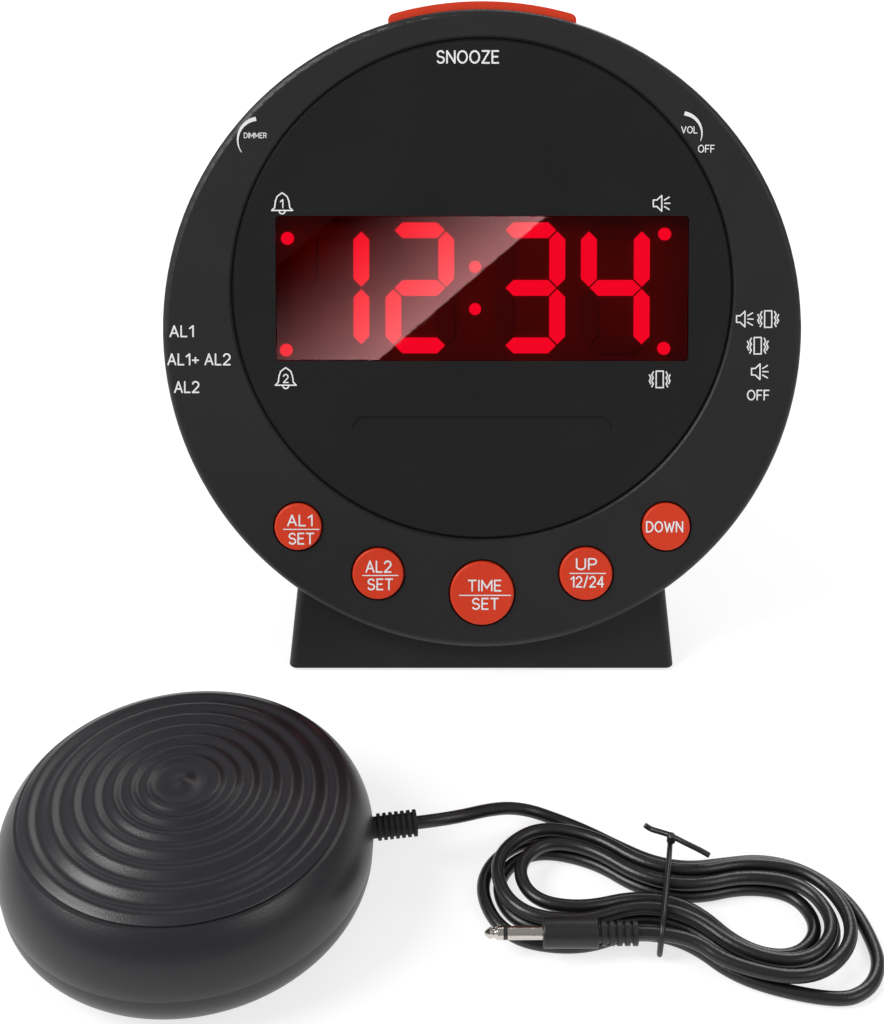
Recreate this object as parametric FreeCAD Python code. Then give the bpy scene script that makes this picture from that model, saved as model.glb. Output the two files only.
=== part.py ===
import FreeCAD, Part
import math
import os
from FreeCAD import Vector

# A round bedside alarm clock on a cradle stand, with a wired bed shaker beside it.
# Millimetres. The clock faces -Y, +Z is up, and the origin is the middle of the stand's
# non-slip pad, on the table.
# The head is drawn upright in its own frame: x to the right, y into the case from the face,
# z up the face, with zero at the middle of the face. It then leans back as one.

# Fits and cuts
SLIP = 0.3
SNUG = 0.15
RUNNING_FIT = 0.05
OVERRUN = 1.0

# Head
HEAD_RADIUS = 75.0
HEAD_LEAN = 22.0
HEAD_BACK_SET = -8.0
RIM_CLEARANCE = 8.5
BEZEL_DEPTH = 10.0
BEZEL_WALL = 2.6
RIM_EDGE_ROUND = 1.6
PARTING_STEP = 0.8

# Rear cover
COVER_WALL = 2.4
COVER_SHOULDER_DEPTH = 13.0
COVER_BACK_DEPTH = 48.0
COVER_BACK_RUN = 7.0
COVER_TAPER = 14.0
COVER_BACK_TAPER = 4.0
COVER_EDGE_ROUND = 3.0

# Faceplate and its groove
RIM_ABOVE = 6.9
FACEPLATE_UP = 9.5
FACEPLATE_THICK = 1.8
FACEPLATE_LEDGE = 3.6
GROOVE_WIDTH = 1.2
MOULD_LINE_LENGTH = 61.0
MOULD_LINE_UP = -20.1
MOULD_LINE_WIDTH = 0.5
MOULD_LINE_SINK = 0.25
MOULD_LINE_ROUND = 3.0

# Display
WINDOW_MARGIN = 7.6
WINDOW_BORDER = 1.4
WINDOW_RAISE = 0.3
WINDOW_THICK = 1.5
WINDOW_SINK = 0.2
WINDOW_CORNER = 0.8
DIGIT_HEIGHT = 30.9
DIGIT_WIDTH_SHARE = 0.168
DIGIT_PLACE_SHARES = (-0.36, -0.152, 0.12, 0.327)
SEGMENT_WIDTH = 3.7
SEGMENT_GAP = 0.6
SEGMENT_THICK = 0.5
COLON_SHARE = -0.0166
COLON_RISE = 5.0
COLON_RADIUS = 1.4
LAMP_SHARES = ((-0.952, 0.694), (-0.96, -0.872), (0.895, 0.754), (0.893, -0.849))
LAMP_RADIUS = 1.5
PANEL_DEPTH = 3.6
PANEL_THICK = 1.6
HOUSING_WALL = 1.6
HOUSING_BACK = 12.0

# Keys: angle round the face, distance in from the rim, radius
KEY_ANGLES = {
    "key_alarm_1": 226.9,
    "key_alarm_2": 246.9,
    "key_time": 270.0,
    "key_up": 293.1,
    "key_down": 313.1,
}
KEY_INSETS = {
    "key_alarm_1": 11.75,
    "key_alarm_2": 12.7,
    "key_time": 13.1,
    "key_up": 12.7,
    "key_down": 11.75,
}
KEY_RADII = {
    "key_alarm_1": 5.5,
    "key_alarm_2": 6.0,
    "key_time": 7.5,
    "key_up": 6.2,
    "key_down": 5.6,
}
KEY_GAP = 0.45
KEY_PROUD = 0.8
KEY_TRAVEL = 0.6
KEY_EDGE_ROUND = 0.5
KEY_FLANGE = 0.8
KEY_FLANGE_THICK = 1.0
KEY_STEM_RADIUS = 1.5
KEY_STEM_REACH = 1.6

# Key board and its switches
KEY_BOARD_DEPTH = 9.4
KEY_BOARD_THICK = 1.6
KEY_BOARD_INNER_GAP = 2.4
KEY_BOARD_OUTER_GAP = 4.0
KEY_BOARD_OVER_KEY = 8.2
SWITCH_SIDE = 6.0
SWITCH_BODY = 1.9
SWITCH_PLUNGER_RADIUS = 1.6
KEY_BOARD_POST_ANGLES = (237.2, 302.8)
KEY_BOARD_POST_INSET = 11.5
POST_RADIUS = 2.6
SCREW_RADIUS = 1.1
SCREW_HEAD_RADIUS = 2.2
SCREW_HEAD_THICK = 1.4
SCREW_CHAMFER_SHARE = 0.25
SCREW_BITE = 6.0

# Main board
MAIN_BOARD_EDGE_GAP = 9.0
MAIN_BOARD_THICK = 1.6
MAIN_BOARD_BOTTOM = -34.0
MAIN_BOARD_POST_ANGLES = (166.9, 13.1, 194.9, 345.1)
MAIN_BOARD_POST_INSETS = (13.4, 13.4, 16.5, 16.5)

# Case screws: angle round the face
CASE_SCREW_ANGLES = (62.5, 117.5, 215.0, 325.0)
CASE_SCREW_INSET = 11.0
CASE_POST_RADIUS = 4.6
CASE_WELL_RADIUS = 3.3
CASE_SCREW_RADIUS = 1.4
CASE_SCREW_HEAD = 2.7
CASE_SEAT_DEPTH = 14.0
CASE_SEAT_THICK = 2.0

# Snooze bar
SNOOZE_HALF = 22.0
SNOOZE_FRONT = 2.0
SNOOZE_BACK = 27.0
SNOOZE_PROUD = 1.9
SNOOZE_THICK = 5.4
SNOOZE_FLANGE = 1.4
SNOOZE_FLANGE_THICK = 1.4
SNOOZE_TRAVEL = 1.5
SNOOZE_END_ROUND = 1.6
SNOOZE_BLEND = 0.4
SNOOZE_POST_RADIUS = 2.0
SNOOZE_POST_DEPTH = 17.0
SNOOZE_SWITCH_BODY = 7.0
SNOOZE_SWITCH_INSET = 16.0
SNOOZE_PLUNGER = 1.2

# Thumbwheels: angle round the face
DIMMER_ANGLE = 139.0
VOLUME_ANGLE = 44.0
WHEEL_INSET = 15.5
WHEEL_RADIUS = 13.6
WHEEL_THICK = 3.2
WHEEL_TEETH = 36
WHEEL_TOOTH_DEPTH = 0.5
WHEEL_FRONT = 17.6
POT_RADIUS = 5.0
POT_SHAFT_RADIUS = 1.6

# Selectors on the sides
SELECTOR_UP = -6.6
ALARM_TRAVEL = 6.0
MODE_TRAVEL = 9.0
SELECTOR_DEPTH = 17.4
SELECTOR_CAP_HEIGHT = 6.0
SELECTOR_CAP_DEPTH = 3.6
SELECTOR_CAP_PROUD = 1.2
SELECTOR_CAP_LIFT = 1.5
SELECTOR_BODY_GAP = 0.6
SELECTOR_SLOT_REACH = 7.2
SELECTOR_STEM_HEIGHT = 2.4
SELECTOR_STEM_DEPTH = 1.8
SELECTOR_BODY_HEIGHT = 16.0
SELECTOR_BODY_DEPTH = 6.4
SELECTOR_BODY_THICK = 5.0
SELECTOR_RIBS = 3
SELECTOR_RIB = 0.4

# Speaker behind the grille
SPEAKER_UP = 14.0
SPEAKER_RADIUS = 25.0
SPEAKER_RIM = 3.0
SPEAKER_RIM_THICK = 2.0
SPEAKER_BASKET = 10.0
SPEAKER_MAGNET_RADIUS = 11.0
SPEAKER_MAGNET_THICK = 6.0
SPEAKER_CAP_RADIUS = 7.0
SPEAKER_CONE_THICK = 0.6
SPEAKER_CONE_SEAT = 1.2
SPEAKER_DOME_RISE = 1.8
SPEAKER_DOME_SHARE = 0.5
SPEAKER_DOME_RISE_SHARE = 0.67
GRILLE_HOLE = 1.1
GRILLE_PITCH = 4.2
GRILLE_RINGS = 5
GRILLE_SIDES = 6

# Backup battery bay
BATTERY_WIDTH = 48.5
BATTERY_HEIGHT = 26.5
BATTERY_THICK = 17.5
BATTERY_X = -2.3
BATTERY_UP = -27.0
BATTERY_ROUND = 2.0
BAY_WALL = 1.2
DOOR_THICK = 2.0
DOOR_LIP = 2.0
DOOR_LATCH = 6.0
DOOR_LATCH_THICK = 0.9
TERMINAL_RADIUS = 3.4
TERMINAL_HEIGHT = 2.2
TERMINAL_PLACE_SHARE = 0.25
CLIP_THICK = 2.4

# Inlets at the lower back of the cover
INLET_UP = -9.5
INLET_INSET = 19.0
DC_BORE = 2.9
DC_PIN = 0.7
DC_LENGTH = 9.0
JACK_BORE = 1.3
JACK_LENGTH = 12.0
INLET_BODY = 9.0
INLET_COLLAR = 4.4
INLET_COLLAR_PROUD = 0.6

# Stand
STAND_FRONT_SET = 2.4
STAND_BACK = 34.0
STAND_BACK_TOP = 27.0
STAND_HALF_WIDTH = 46.0
STAND_HALF_WIDTH_TOP = 43.0
STAND_HEIGHT = 26.0
STAND_EDGE_ROUND = 2.0
STAND_WALL = 2.2
STAND_TABLE_GAP = 0.8
STAND_BASE_THICK = 1.2
STAND_POSTS = ((-33.0, -4.0), (33.0, -4.0), (-33.0, 15.0), (33.0, 15.0))
STAND_POST_RADIUS = 4.2
STAND_SCREW_RADIUS = 1.5
STAND_SCREW_HEAD = 3.0
STAND_SCREW_HEAD_THICK = 2.0
STAND_SCREW_LENGTH = 20.0
STAND_SCREW_HEIGHT = 5.5
HEAD_POST_RADIUS = 3.8
PAD_LENGTH = 70.0
PAD_DEPTH = 50.0
PAD_THICK = 1.2
PAD_CORNER = 6.0

# Shaker
SHAKER_X = -59.0
SHAKER_Y = -102.1
SHAKER_RADIUS = 36.0
SHAKER_THICK = 29.0
SHAKER_WALL = 2.2
SHAKER_WIDEST = 11.0
SHAKER_FOOT_RADIUS = 27.0
SHAKER_FOOT_RISE = 0.8
RIPPLE_COUNT = 7
RIPPLE_START = 5.4
RIPPLE_PITCH = 2.9
RIPPLE_PITCH_GROWTH = 0.3
RIPPLE_HEIGHT = 0.8
RIPPLE_INNER_SHARE = 0.55
RIPPLE_STEPS = 6
KNOB_STEPS = 4
CROWN_DROP = 4.2
CROWN_MIDDLE_SHARE = 0.5
SHOULDER_SHARE = 0.72
SHOULDER_RISE = 8.5
HEEL_SHARE = 0.72
HEEL_HEIGHT = 4.0
KNOB_RADIUS = 3.2
KNOB_RISE = 0.9
SHAKER_SCREW_SEAT = 4.6
SHAKER_PAD_RADIUS = 25.0
SHAKER_PAD_WIDTH = 8.0
MOTOR_RADIUS = 8.5
MOTOR_LENGTH = 24.0
MOTOR_X = -8.0
MOTOR_SHAFT_RADIUS = 1.2
MOTOR_SHAFT_REACH = 15.0
WEIGHT_RADIUS = 8.6
WEIGHT_LENGTH = 10.0
WEIGHT_START = 2.5
WEIGHT_HUB_RADIUS = 3.2
CLAMP_THICK = 1.6
CLAMP_WIDTH = 8.0
CLAMP_FOOT = 5.0
SHAKER_POST_PLACE = 27.5
SHAKER_POST_ANGLES = (60.0, 180.0, 300.0)
SHAKER_POST_RADIUS = 3.6

# Shaker cord
CORD_DIAMETER = 2.6
EXIT_ANGLE = 9.0
EXIT_HEIGHT = 11.0
RELIEF_REACH = 9.0
RELIEF_RADIUS = 2.1
RELIEF_RIB_RADIUS = 2.6
RELIEF_RIBS = 7
RELIEF_RIB_GAP = 0.6
RELIEF_INSIDE = 5.0
RELIEF_FLANGE_SET = 1.2
RELIEF_HOLE_REACH = 6.6

# Hank of the shaker cord
HANK_X = 34.0
HANK_Y = -107.5
HANK_TURN = -13.0
HANK_RUNS = 8
HANK_FLANK = 20.5
HANK_PITCH = 3.6
HANK_WAIST_STEP = 3.6
HANK_INNER_FLANK = 7.1
HANK_INNER_WAIST = 0.75
HANK_LAYER_RISE = 3.1
HANK_EXTRA = (1.6, 0.0, 2.0, 0.0, 0.0, 1.0, 1.0, 1.0)
TIE_LIFT_SHARE = 1.2
TIE_THICK = 0.7
TIE_WIDTH = 1.5
TIE_BACK = 13.5
TIE_FRONT = 13.1
TIE_TOP = 8.3
TIE_FLOOR_GAP = 0.1
TIE_CORNER = 2.6
TIE_KNOT_RADIUS = 1.1
TIE_KNOT_RISE = 1.5
TIE_TAIL_RADIUS = 0.55
TIE_TAILS = (
    (6.0, -1.0, 0.25, -0.1),
    (9.0, 1.0, 0.1, -0.2),
)

# Plug on the shaker cord, its axis along X
PLUG_Y = -117.9
PLUG_HEIGHT = 5.8
PLUG_BOOT_X = 27.3
PLUG_BOOT_LENGTH = 7.4
PLUG_BOOT_RADIUS = 2.3
PLUG_BOOT_RIBS = 5
PLUG_BARREL_LENGTH = 10.4
PLUG_BARREL_RADIUS = 2.75
PLUG_SLEEVE_RADIUS = 1.25
PLUG_SLEEVE_LENGTH = 6.6
PLUG_RING_LENGTH = 0.8
PLUG_TIP_LENGTH = 3.6
PLUG_CORE_RADIUS = 0.6
PLUG_CORE_GAP = 0.2
PLUG_RIB_DEPTH = 0.5
PLUG_RIB_SHARE = 0.6
PLUG_EDGE_ROUND = 0.4
PLUG_TIP_SHARES = (
    (0.30, 1.0),
    (0.45, 0.72),
    (0.58, 0.72),
    (0.70, 0.92),
    (0.94, 0.35),
    (1.0, 0.0),
)

# Free stretches of the cord: hand-chosen points of the route
LEAD_ROUTE = (
    (2.0, -86.9, 7.3),
    (8.2, -83.5, 3.7),
    (14.6, -84.4, 1.7),
    (20.6, -87.5, 1.4),
    (26.7, -92.1, 1.6),
    (32.9, -96.6, 2.1),
    (39.9, -98.4, 2.2),
    (47.6, -96.7, 1.7),
    (54.8, -95.4, 1.4),
    (61.7, -97.3, 1.4),
    (67.2, -101.7, 1.4),
    (70.8, -107.6, 1.4),
    (72.3, -114.4, 1.4),
    (72.6, -121.3, 1.4),
    (69.1, -127.1, 1.4),
    (62.7, -129.7, 1.4),
)
LEAD_START_RUN = 7.0
LEAD_END_RUN = 5.0
TAIL_START_RUN = 7.0
TAIL_END_RUN = 9.0
ARC_SHARE = 0.45
GAP_STEP = 1.0

# Sizes that follow from those above
LEAN = math.radians(HEAD_LEAN)
FACE_HEIGHT = RIM_CLEARANCE + HEAD_RADIUS * math.cos(LEAN)
COVER_BEND_DEPTH = COVER_BACK_DEPTH - COVER_BACK_RUN
COVER_BEND_RADIUS = HEAD_RADIUS - COVER_TAPER
COVER_BACK_RADIUS = COVER_BEND_RADIUS - COVER_BACK_TAPER
FACEPLATE_RADIUS = HEAD_RADIUS - RIM_ABOVE - FACEPLATE_UP
WINDOW_UP = FACEPLATE_UP + WINDOW_RAISE
WINDOW_HEIGHT = DIGIT_HEIGHT + 2 * WINDOW_BORDER
WINDOW_WIDTH = 2 * math.sqrt((FACEPLATE_RADIUS - WINDOW_MARGIN) ** 2 - (WINDOW_HEIGHT / 2) ** 2)
SNOOZE_SWITCH_TOP = HEAD_RADIUS - SNOOZE_SWITCH_INSET
INLET_X = COVER_BACK_RADIUS - INLET_INSET
STAND_FRONT = HEAD_BACK_SET - HEAD_RADIUS * math.sin(LEAN) + STAND_FRONT_SET
CORD_RADIUS = CORD_DIAMETER / 2
ALONG_SHARE = 0.5
ALONG_DEPTH = Vector(0, 1, 0)
ALONG_X = Vector(1, 0, 0)
UP = Vector(0, 0, 1)
OUT_PARTS = "parts"


def disc(radius, front, back, across=0.0, up=0.0):
    """Cylinder along the depth of the head."""
    return Part.makeCylinder(radius, back - front, Vector(across, front, up), ALONG_DEPTH)


def post(radius, low, high, x, y):
    """Upright cylinder."""
    return Part.makeCylinder(radius, high - low, Vector(x, y, low), UP)


def rod(radius, start, end, y, z):
    """Cylinder along X."""
    return Part.makeCylinder(radius, end - start, Vector(start, y, z), ALONG_X)


def block(x, y, z):
    """Box from pairs of limits."""
    return Part.makeBox(x[1] - x[0], y[1] - y[0], z[1] - z[0], Vector(x[0], y[0], z[0]))


def about(middle, half):
    """Limits at equal distances on both sides of a middle."""
    return (middle - half, middle + half)


def spun(points, axis):
    """Solid of revolution of a closed outline in a plane through the axis."""
    wire = Part.makePolygon([Vector(p) for p in points] + [Vector(points[0])])
    return Part.Face(wire).revolve(Vector(0, 0, 0), axis, 360)


def head_spun(outline):
    """Solid of revolution about the depth of the head, from (radius, depth) pairs."""
    return spun([(radius, depth, 0) for radius, depth in outline], ALONG_DEPTH)


def edges_along(shape, axis):
    """Straight edges that run along an axis."""
    return [edge for edge in shape.Edges if abs(edge.tangentAt(edge.FirstParameter).dot(axis)) > ALONG_SHARE]


def rounded_block(x, y, z, corner):
    """Box whose edges along the depth are rounded."""
    body = block(x, y, z)
    return body.makeFillet(corner, edges_along(body, ALONG_DEPTH))


def joined(shapes):
    """Union of several shapes."""
    first = shapes[0]
    if len(shapes) == 1:
        return first
    return first.fuse(shapes[1:]).removeSplitter()


def on_circle(radius, angle):
    """Place across and up at an angle round the face."""
    turn = math.radians(angle)
    return radius * math.cos(turn), radius * math.sin(turn)


def key_places():
    """Name, place across, place up and radius of each key."""
    found = []
    for name, angle in KEY_ANGLES.items():
        x, up = on_circle(HEAD_RADIUS - KEY_INSETS[name], angle)
        found.append((name, x, up, KEY_RADII[name]))
    return found


def key_board_posts():
    return [on_circle(HEAD_RADIUS - KEY_BOARD_POST_INSET, angle) for angle in KEY_BOARD_POST_ANGLES]


def main_board_posts():
    return [on_circle(HEAD_RADIUS - inset, angle)
            for angle, inset in zip(MAIN_BOARD_POST_ANGLES, MAIN_BOARD_POST_INSETS)]


def case_wells():
    """Places of the case screws, across and up."""
    return [on_circle(HEAD_RADIUS - CASE_SCREW_INSET, angle) for angle in CASE_SCREW_ANGLES]


def edges_at(shape, depth, radius=None):
    """Round edges that lie at one depth, of one radius if given."""
    found = []
    for edge in shape.Edges:
        box = edge.BoundBox
        flat = box.YLength < RUNNING_FIT and abs(box.YMin - depth) < RUNNING_FIT
        curve = edge.Curve
        if not flat or not hasattr(curve, "Radius"):
            continue
        if radius is None or abs(curve.Radius - radius) < RUNNING_FIT:
            found.append(edge)
    return found


def lean_back(shape):
    """Move a piece from the frame of the head to its place on the stand."""
    placed = shape.copy()
    placed.rotate(Vector(0, 0, 0), ALONG_X, -HEAD_LEAN)
    placed.translate(Vector(0, HEAD_BACK_SET, FACE_HEIGHT))
    return placed


def save(name, shapes):
    """Write one sub-part, a single solid or a group of separate solids."""
    solids = [solid for shape in shapes for solid in shape.Solids]
    if not solids or not all(solid.isValid() for solid in solids):
        print("CHECK", name, "solids", len(solids))
    body = solids[0] if len(solids) == 1 else Part.makeCompound(solids)
    body.exportStep(os.path.join(OUT_PARTS, name + ".step"))


def save_head(name, *shapes):
    save(name, [lean_back(shape) for shape in shapes])


# Outside of the head

def cover_radius(depth, grow=0.0):
    """Outer radius of the rear cover at a depth on its long taper."""
    share = (depth - COVER_SHOULDER_DEPTH) / (COVER_BEND_DEPTH - COVER_SHOULDER_DEPTH)
    wide = HEAD_RADIUS - PARTING_STEP
    return wide + (COVER_BEND_RADIUS - wide) * share + grow


def head_envelope(grow, front=0.0):
    """The whole head as one round body, grown outwards or shrunk inwards."""
    wide = HEAD_RADIUS - PARTING_STEP
    return head_spun([
        (0, front),
        (HEAD_RADIUS + grow, front),
        (HEAD_RADIUS + grow, BEZEL_DEPTH),
        (wide + grow, BEZEL_DEPTH),
        (wide + grow, COVER_SHOULDER_DEPTH),
        (COVER_BEND_RADIUS + grow, COVER_BEND_DEPTH),
        (COVER_BACK_RADIUS + grow, COVER_BACK_DEPTH + grow),
        (0, COVER_BACK_DEPTH + grow),
    ])


def snooze_space(grow_side, low, high, front, back):
    """Slice of the top of the head between two skins, as wide as the snooze bar."""
    width = about(0.0, SNOOZE_HALF + grow_side)
    skin = head_envelope(high, front - OVERRUN).cut(head_envelope(low, front - OVERRUN))
    return skin.common(block(width, (front, back), (0, HEAD_RADIUS + high + OVERRUN)))


def snooze_room():
    """How far under the skin the pressed snooze bar reaches, as a negative growth."""
    return -(BEZEL_WALL + 2 * SLIP + SNOOZE_FLANGE_THICK + SNOOZE_TRAVEL)


def mould_line():
    """Shallow line with turned-down ends, moulded in the lower half of the faceplate."""
    half = MOULD_LINE_LENGTH / 2
    low = MOULD_LINE_UP - MOULD_LINE_ROUND
    sink = (-OVERRUN, MOULD_LINE_SINK)
    outer = rounded_block(about(0.0, half), sink, (low - MOULD_LINE_LENGTH, MOULD_LINE_UP), MOULD_LINE_ROUND)
    inner = rounded_block(about(0.0, half - MOULD_LINE_WIDTH), sink,
                          (low - MOULD_LINE_LENGTH, MOULD_LINE_UP - MOULD_LINE_WIDTH),
                          MOULD_LINE_ROUND - MOULD_LINE_WIDTH)
    return outer.cut(inner).common(block(about(0.0, MOULD_LINE_LENGTH), sink, (low, MOULD_LINE_UP)))


def front_bezel():
    inside = HEAD_RADIUS - BEZEL_WALL
    body = disc(HEAD_RADIUS, 0, BEZEL_DEPTH)
    body = body.makeFillet(RIM_EDGE_ROUND, edges_at(body, 0.0, HEAD_RADIUS))
    body = body.cut(disc(inside, BEZEL_WALL, BEZEL_DEPTH + OVERRUN))
    seat = disc(FACEPLATE_RADIUS + SNUG, -OVERRUN, FACEPLATE_THICK, 0, FACEPLATE_UP)
    throat = disc(FACEPLATE_RADIUS - FACEPLATE_LEDGE, -OVERRUN, BEZEL_WALL + OVERRUN, 0, FACEPLATE_UP)
    body = body.cut([seat, throat])
    rim = edges_at(body, 0.0, FACEPLATE_RADIUS + SNUG)
    body = body.makeChamfer(GROOVE_WIDTH / 2, rim)
    bore = SCREW_RADIUS + RUNNING_FIT
    holes = [disc(radius + KEY_GAP, -OVERRUN, BEZEL_WALL + OVERRUN, x, up)
             for name, x, up, radius in key_places()]
    posts = []
    for places, seat in ((key_board_posts(), KEY_BOARD_DEPTH), (main_board_posts(), HOUSING_BACK)):
        for x, up in places:
            posts.append(disc(POST_RADIUS, BEZEL_WALL, seat, x, up))
            holes.append(disc(bore, seat - SCREW_BITE, seat + OVERRUN, x, up))
    for x, up in case_wells():
        posts.append(disc(CASE_POST_RADIUS - SNUG, BEZEL_WALL, BEZEL_DEPTH + OVERRUN, x, up))
        holes.append(disc(CASE_SCREW_RADIUS + RUNNING_FIT, BEZEL_WALL + SLIP, COVER_BACK_DEPTH, x, up))
    body = joined([body] + posts)
    holes.append(snooze_space(SLIP, snooze_room(), OVERRUN, SNOOZE_FRONT - SLIP, BEZEL_DEPTH + OVERRUN))
    return body.cut(holes)


def faceplate():
    body = disc(FACEPLATE_RADIUS, 0, FACEPLATE_THICK, 0, FACEPLATE_UP)
    body = body.makeChamfer(GROOVE_WIDTH / 2, edges_at(body, 0.0, FACEPLATE_RADIUS))
    opening = rounded_block(about(0.0, WINDOW_WIDTH / 2 + SNUG), (-OVERRUN, FACEPLATE_THICK + OVERRUN),
                            about(WINDOW_UP, WINDOW_HEIGHT / 2 + SNUG), WINDOW_CORNER + SNUG)
    return body.cut([opening, mould_line()])


def display_window():
    front = WINDOW_SINK
    return rounded_block(about(0.0, WINDOW_WIDTH / 2), (front, front + WINDOW_THICK),
                         about(WINDOW_UP, WINDOW_HEIGHT / 2), WINDOW_CORNER)


def display_housing():
    """Open box behind the window; its rim presses the window forward."""
    wide = WINDOW_WIDTH / 2 + HOUSING_WALL
    high = WINDOW_HEIGHT / 2 + HOUSING_WALL
    body = block(about(0.0, wide), (FACEPLATE_THICK, HOUSING_BACK), about(WINDOW_UP, high))
    front_hollow = block(about(0.0, wide - HOUSING_WALL), (0, PANEL_DEPTH + PANEL_THICK),
                         about(WINDOW_UP, high - HOUSING_WALL))
    back_hollow = block(about(0.0, wide - HOUSING_WALL),
                        (PANEL_DEPTH + PANEL_THICK + HOUSING_WALL, HOUSING_BACK + OVERRUN),
                        about(WINDOW_UP, high - HOUSING_WALL))
    return body.cut([front_hollow, back_hollow])


def display_panel():
    return block(about(0.0, WINDOW_WIDTH / 2 - RUNNING_FIT), (PANEL_DEPTH, PANEL_DEPTH + PANEL_THICK),
                 about(WINDOW_UP, WINDOW_HEIGHT / 2 - RUNNING_FIT))


def bar(start, end):
    """Pointed bar of a digit between two corners of its frame, in the plane of the panel."""
    half = SEGMENT_WIDTH / 2
    span = Vector(end[0] - start[0], 0, end[1] - start[1])
    along = Vector(span).normalize()
    side = Vector(along.z, 0, -along.x)
    first = Vector(start[0], PANEL_DEPTH - SEGMENT_THICK, start[1]) + along * (SEGMENT_GAP / 2)
    last = Vector(end[0], PANEL_DEPTH - SEGMENT_THICK, end[1]) - along * (SEGMENT_GAP / 2)
    near, far = first + along * half, last - along * half
    corners = [first, near + side * half, far + side * half, last, far - side * half, near - side * half]
    face = Part.Face(Part.makePolygon(corners + [first]))
    return face.extrude(Vector(0, SEGMENT_THICK, 0))


# Ends of the bars of a digit, as shares of half its frame across and up
DIGIT_BAR_SHARES = {
    "top": ((-1, 1), (1, 1)),
    "high_left": ((-1, 0), (-1, 1)),
    "high_right": ((1, 0), (1, 1)),
    "middle": ((-1, 0), (1, 0)),
    "low_left": ((-1, -1), (-1, 0)),
    "low_right": ((1, -1), (1, 0)),
    "bottom": ((-1, -1), (1, -1)),
}
DIGITS_SHOWN = (
    ("high_right", "low_right"),
    ("top", "high_right", "middle", "low_left", "bottom"),
    ("top", "high_right", "middle", "low_right", "bottom"),
    ("high_left", "high_right", "middle", "low_right"),
)


def segments(lit):
    """Bars of the four digits that are lit, or those that are dark."""
    across = (DIGIT_WIDTH_SHARE * WINDOW_WIDTH - SEGMENT_WIDTH) / 2
    rise = (DIGIT_HEIGHT - SEGMENT_WIDTH) / 2
    shapes = []
    for place_share, shown in zip(DIGIT_PLACE_SHARES, DIGITS_SHOWN):
        middle = place_share * WINDOW_WIDTH
        for name, end_shares in DIGIT_BAR_SHARES.items():
            if (name in shown) == lit:
                ends = [(middle + across * side, WINDOW_UP + rise * level) for side, level in end_shares]
                shapes.append(bar(*ends))
    return shapes


def dot(radius, across, rise):
    """Round light on the panel, from the middle of the window."""
    return disc(radius, PANEL_DEPTH - SEGMENT_THICK, PANEL_DEPTH, across, WINDOW_UP + rise)


def colon():
    return [dot(COLON_RADIUS, COLON_SHARE * WINDOW_WIDTH, rise) for rise in (COLON_RISE, -COLON_RISE)]


def indicator_lights():
    return [dot(LAMP_RADIUS, across_share * WINDOW_WIDTH / 2, up_share * WINDOW_HEIGHT / 2)
            for across_share, up_share in LAMP_SHARES]


def screw(across, up, seat, reach, radius, head_radius, head_thick):
    """Screw along the depth, its head behind the seat."""
    head = disc(head_radius, seat, seat + head_thick, across, up)
    head = head.makeChamfer(head_thick * SCREW_CHAMFER_SHARE, edges_at(head, seat + head_thick, head_radius))
    return head.fuse(disc(radius, seat - reach, seat, across, up)).removeSplitter()


def main_board():
    body = disc(HEAD_RADIUS - MAIN_BOARD_EDGE_GAP, HOUSING_BACK, HOUSING_BACK + MAIN_BOARD_THICK)
    span = (MAIN_BOARD_BOTTOM, HEAD_RADIUS)
    body = body.common(block(about(0.0, HEAD_RADIUS), (0, COVER_BACK_DEPTH), span))
    cuts = [disc(CASE_POST_RADIUS + SLIP, 0, COVER_BACK_DEPTH, x, up) for x, up in case_wells()]
    cuts += [disc(SCREW_RADIUS + RUNNING_FIT, 0, COVER_BACK_DEPTH, x, up) for x, up in main_board_posts()]
    return body.cut(cuts)


def board_screws():
    shapes = []
    reach = SCREW_BITE - SLIP + MAIN_BOARD_THICK
    for x, up in main_board_posts():
        shapes.append(screw(x, up, HOUSING_BACK + MAIN_BOARD_THICK, reach,
                            SCREW_RADIUS, SCREW_HEAD_RADIUS, SCREW_HEAD_THICK))
    for x, up in key_board_posts():
        shapes.append(screw(x, up, KEY_BOARD_DEPTH + KEY_BOARD_THICK, reach,
                            SCREW_RADIUS, SCREW_HEAD_RADIUS, SCREW_HEAD_THICK))
    return shapes


def key_board():
    """Crescent board behind the keys, up to just above the highest of them."""
    top = max(up for name, x, up, radius in key_places()) + KEY_BOARD_OVER_KEY
    body = disc(HEAD_RADIUS - KEY_BOARD_OUTER_GAP, KEY_BOARD_DEPTH, KEY_BOARD_DEPTH + KEY_BOARD_THICK)
    body = body.cut(disc(FACEPLATE_RADIUS + KEY_BOARD_INNER_GAP, 0, COVER_BACK_DEPTH, 0, FACEPLATE_UP))
    body = body.common(block(about(0.0, HEAD_RADIUS), (0, COVER_BACK_DEPTH), (-HEAD_RADIUS, top)))
    cuts = [disc(SCREW_RADIUS + RUNNING_FIT, 0, COVER_BACK_DEPTH, x, up) for x, up in key_board_posts()]
    cuts += [disc(CASE_POST_RADIUS + SLIP, 0, COVER_BACK_DEPTH, x, up) for x, up in case_wells()]
    return max(body.cut(cuts).Solids, key=lambda solid: solid.Volume)


def key(across, up, radius):
    """Round key with a retaining flange and a stem towards its switch."""
    flange_front = BEZEL_WALL + SNUG
    stem_front = flange_front + KEY_FLANGE_THICK
    cap = disc(radius, -KEY_PROUD, flange_front, across, up)
    cap = cap.makeFillet(KEY_EDGE_ROUND, edges_at(cap, -KEY_PROUD, radius))
    flange = disc(radius + KEY_FLANGE, flange_front, stem_front, across, up)
    stem = disc(KEY_STEM_RADIUS, stem_front, stem_front + KEY_STEM_REACH, across, up)
    return joined([cap, flange, stem])


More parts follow.
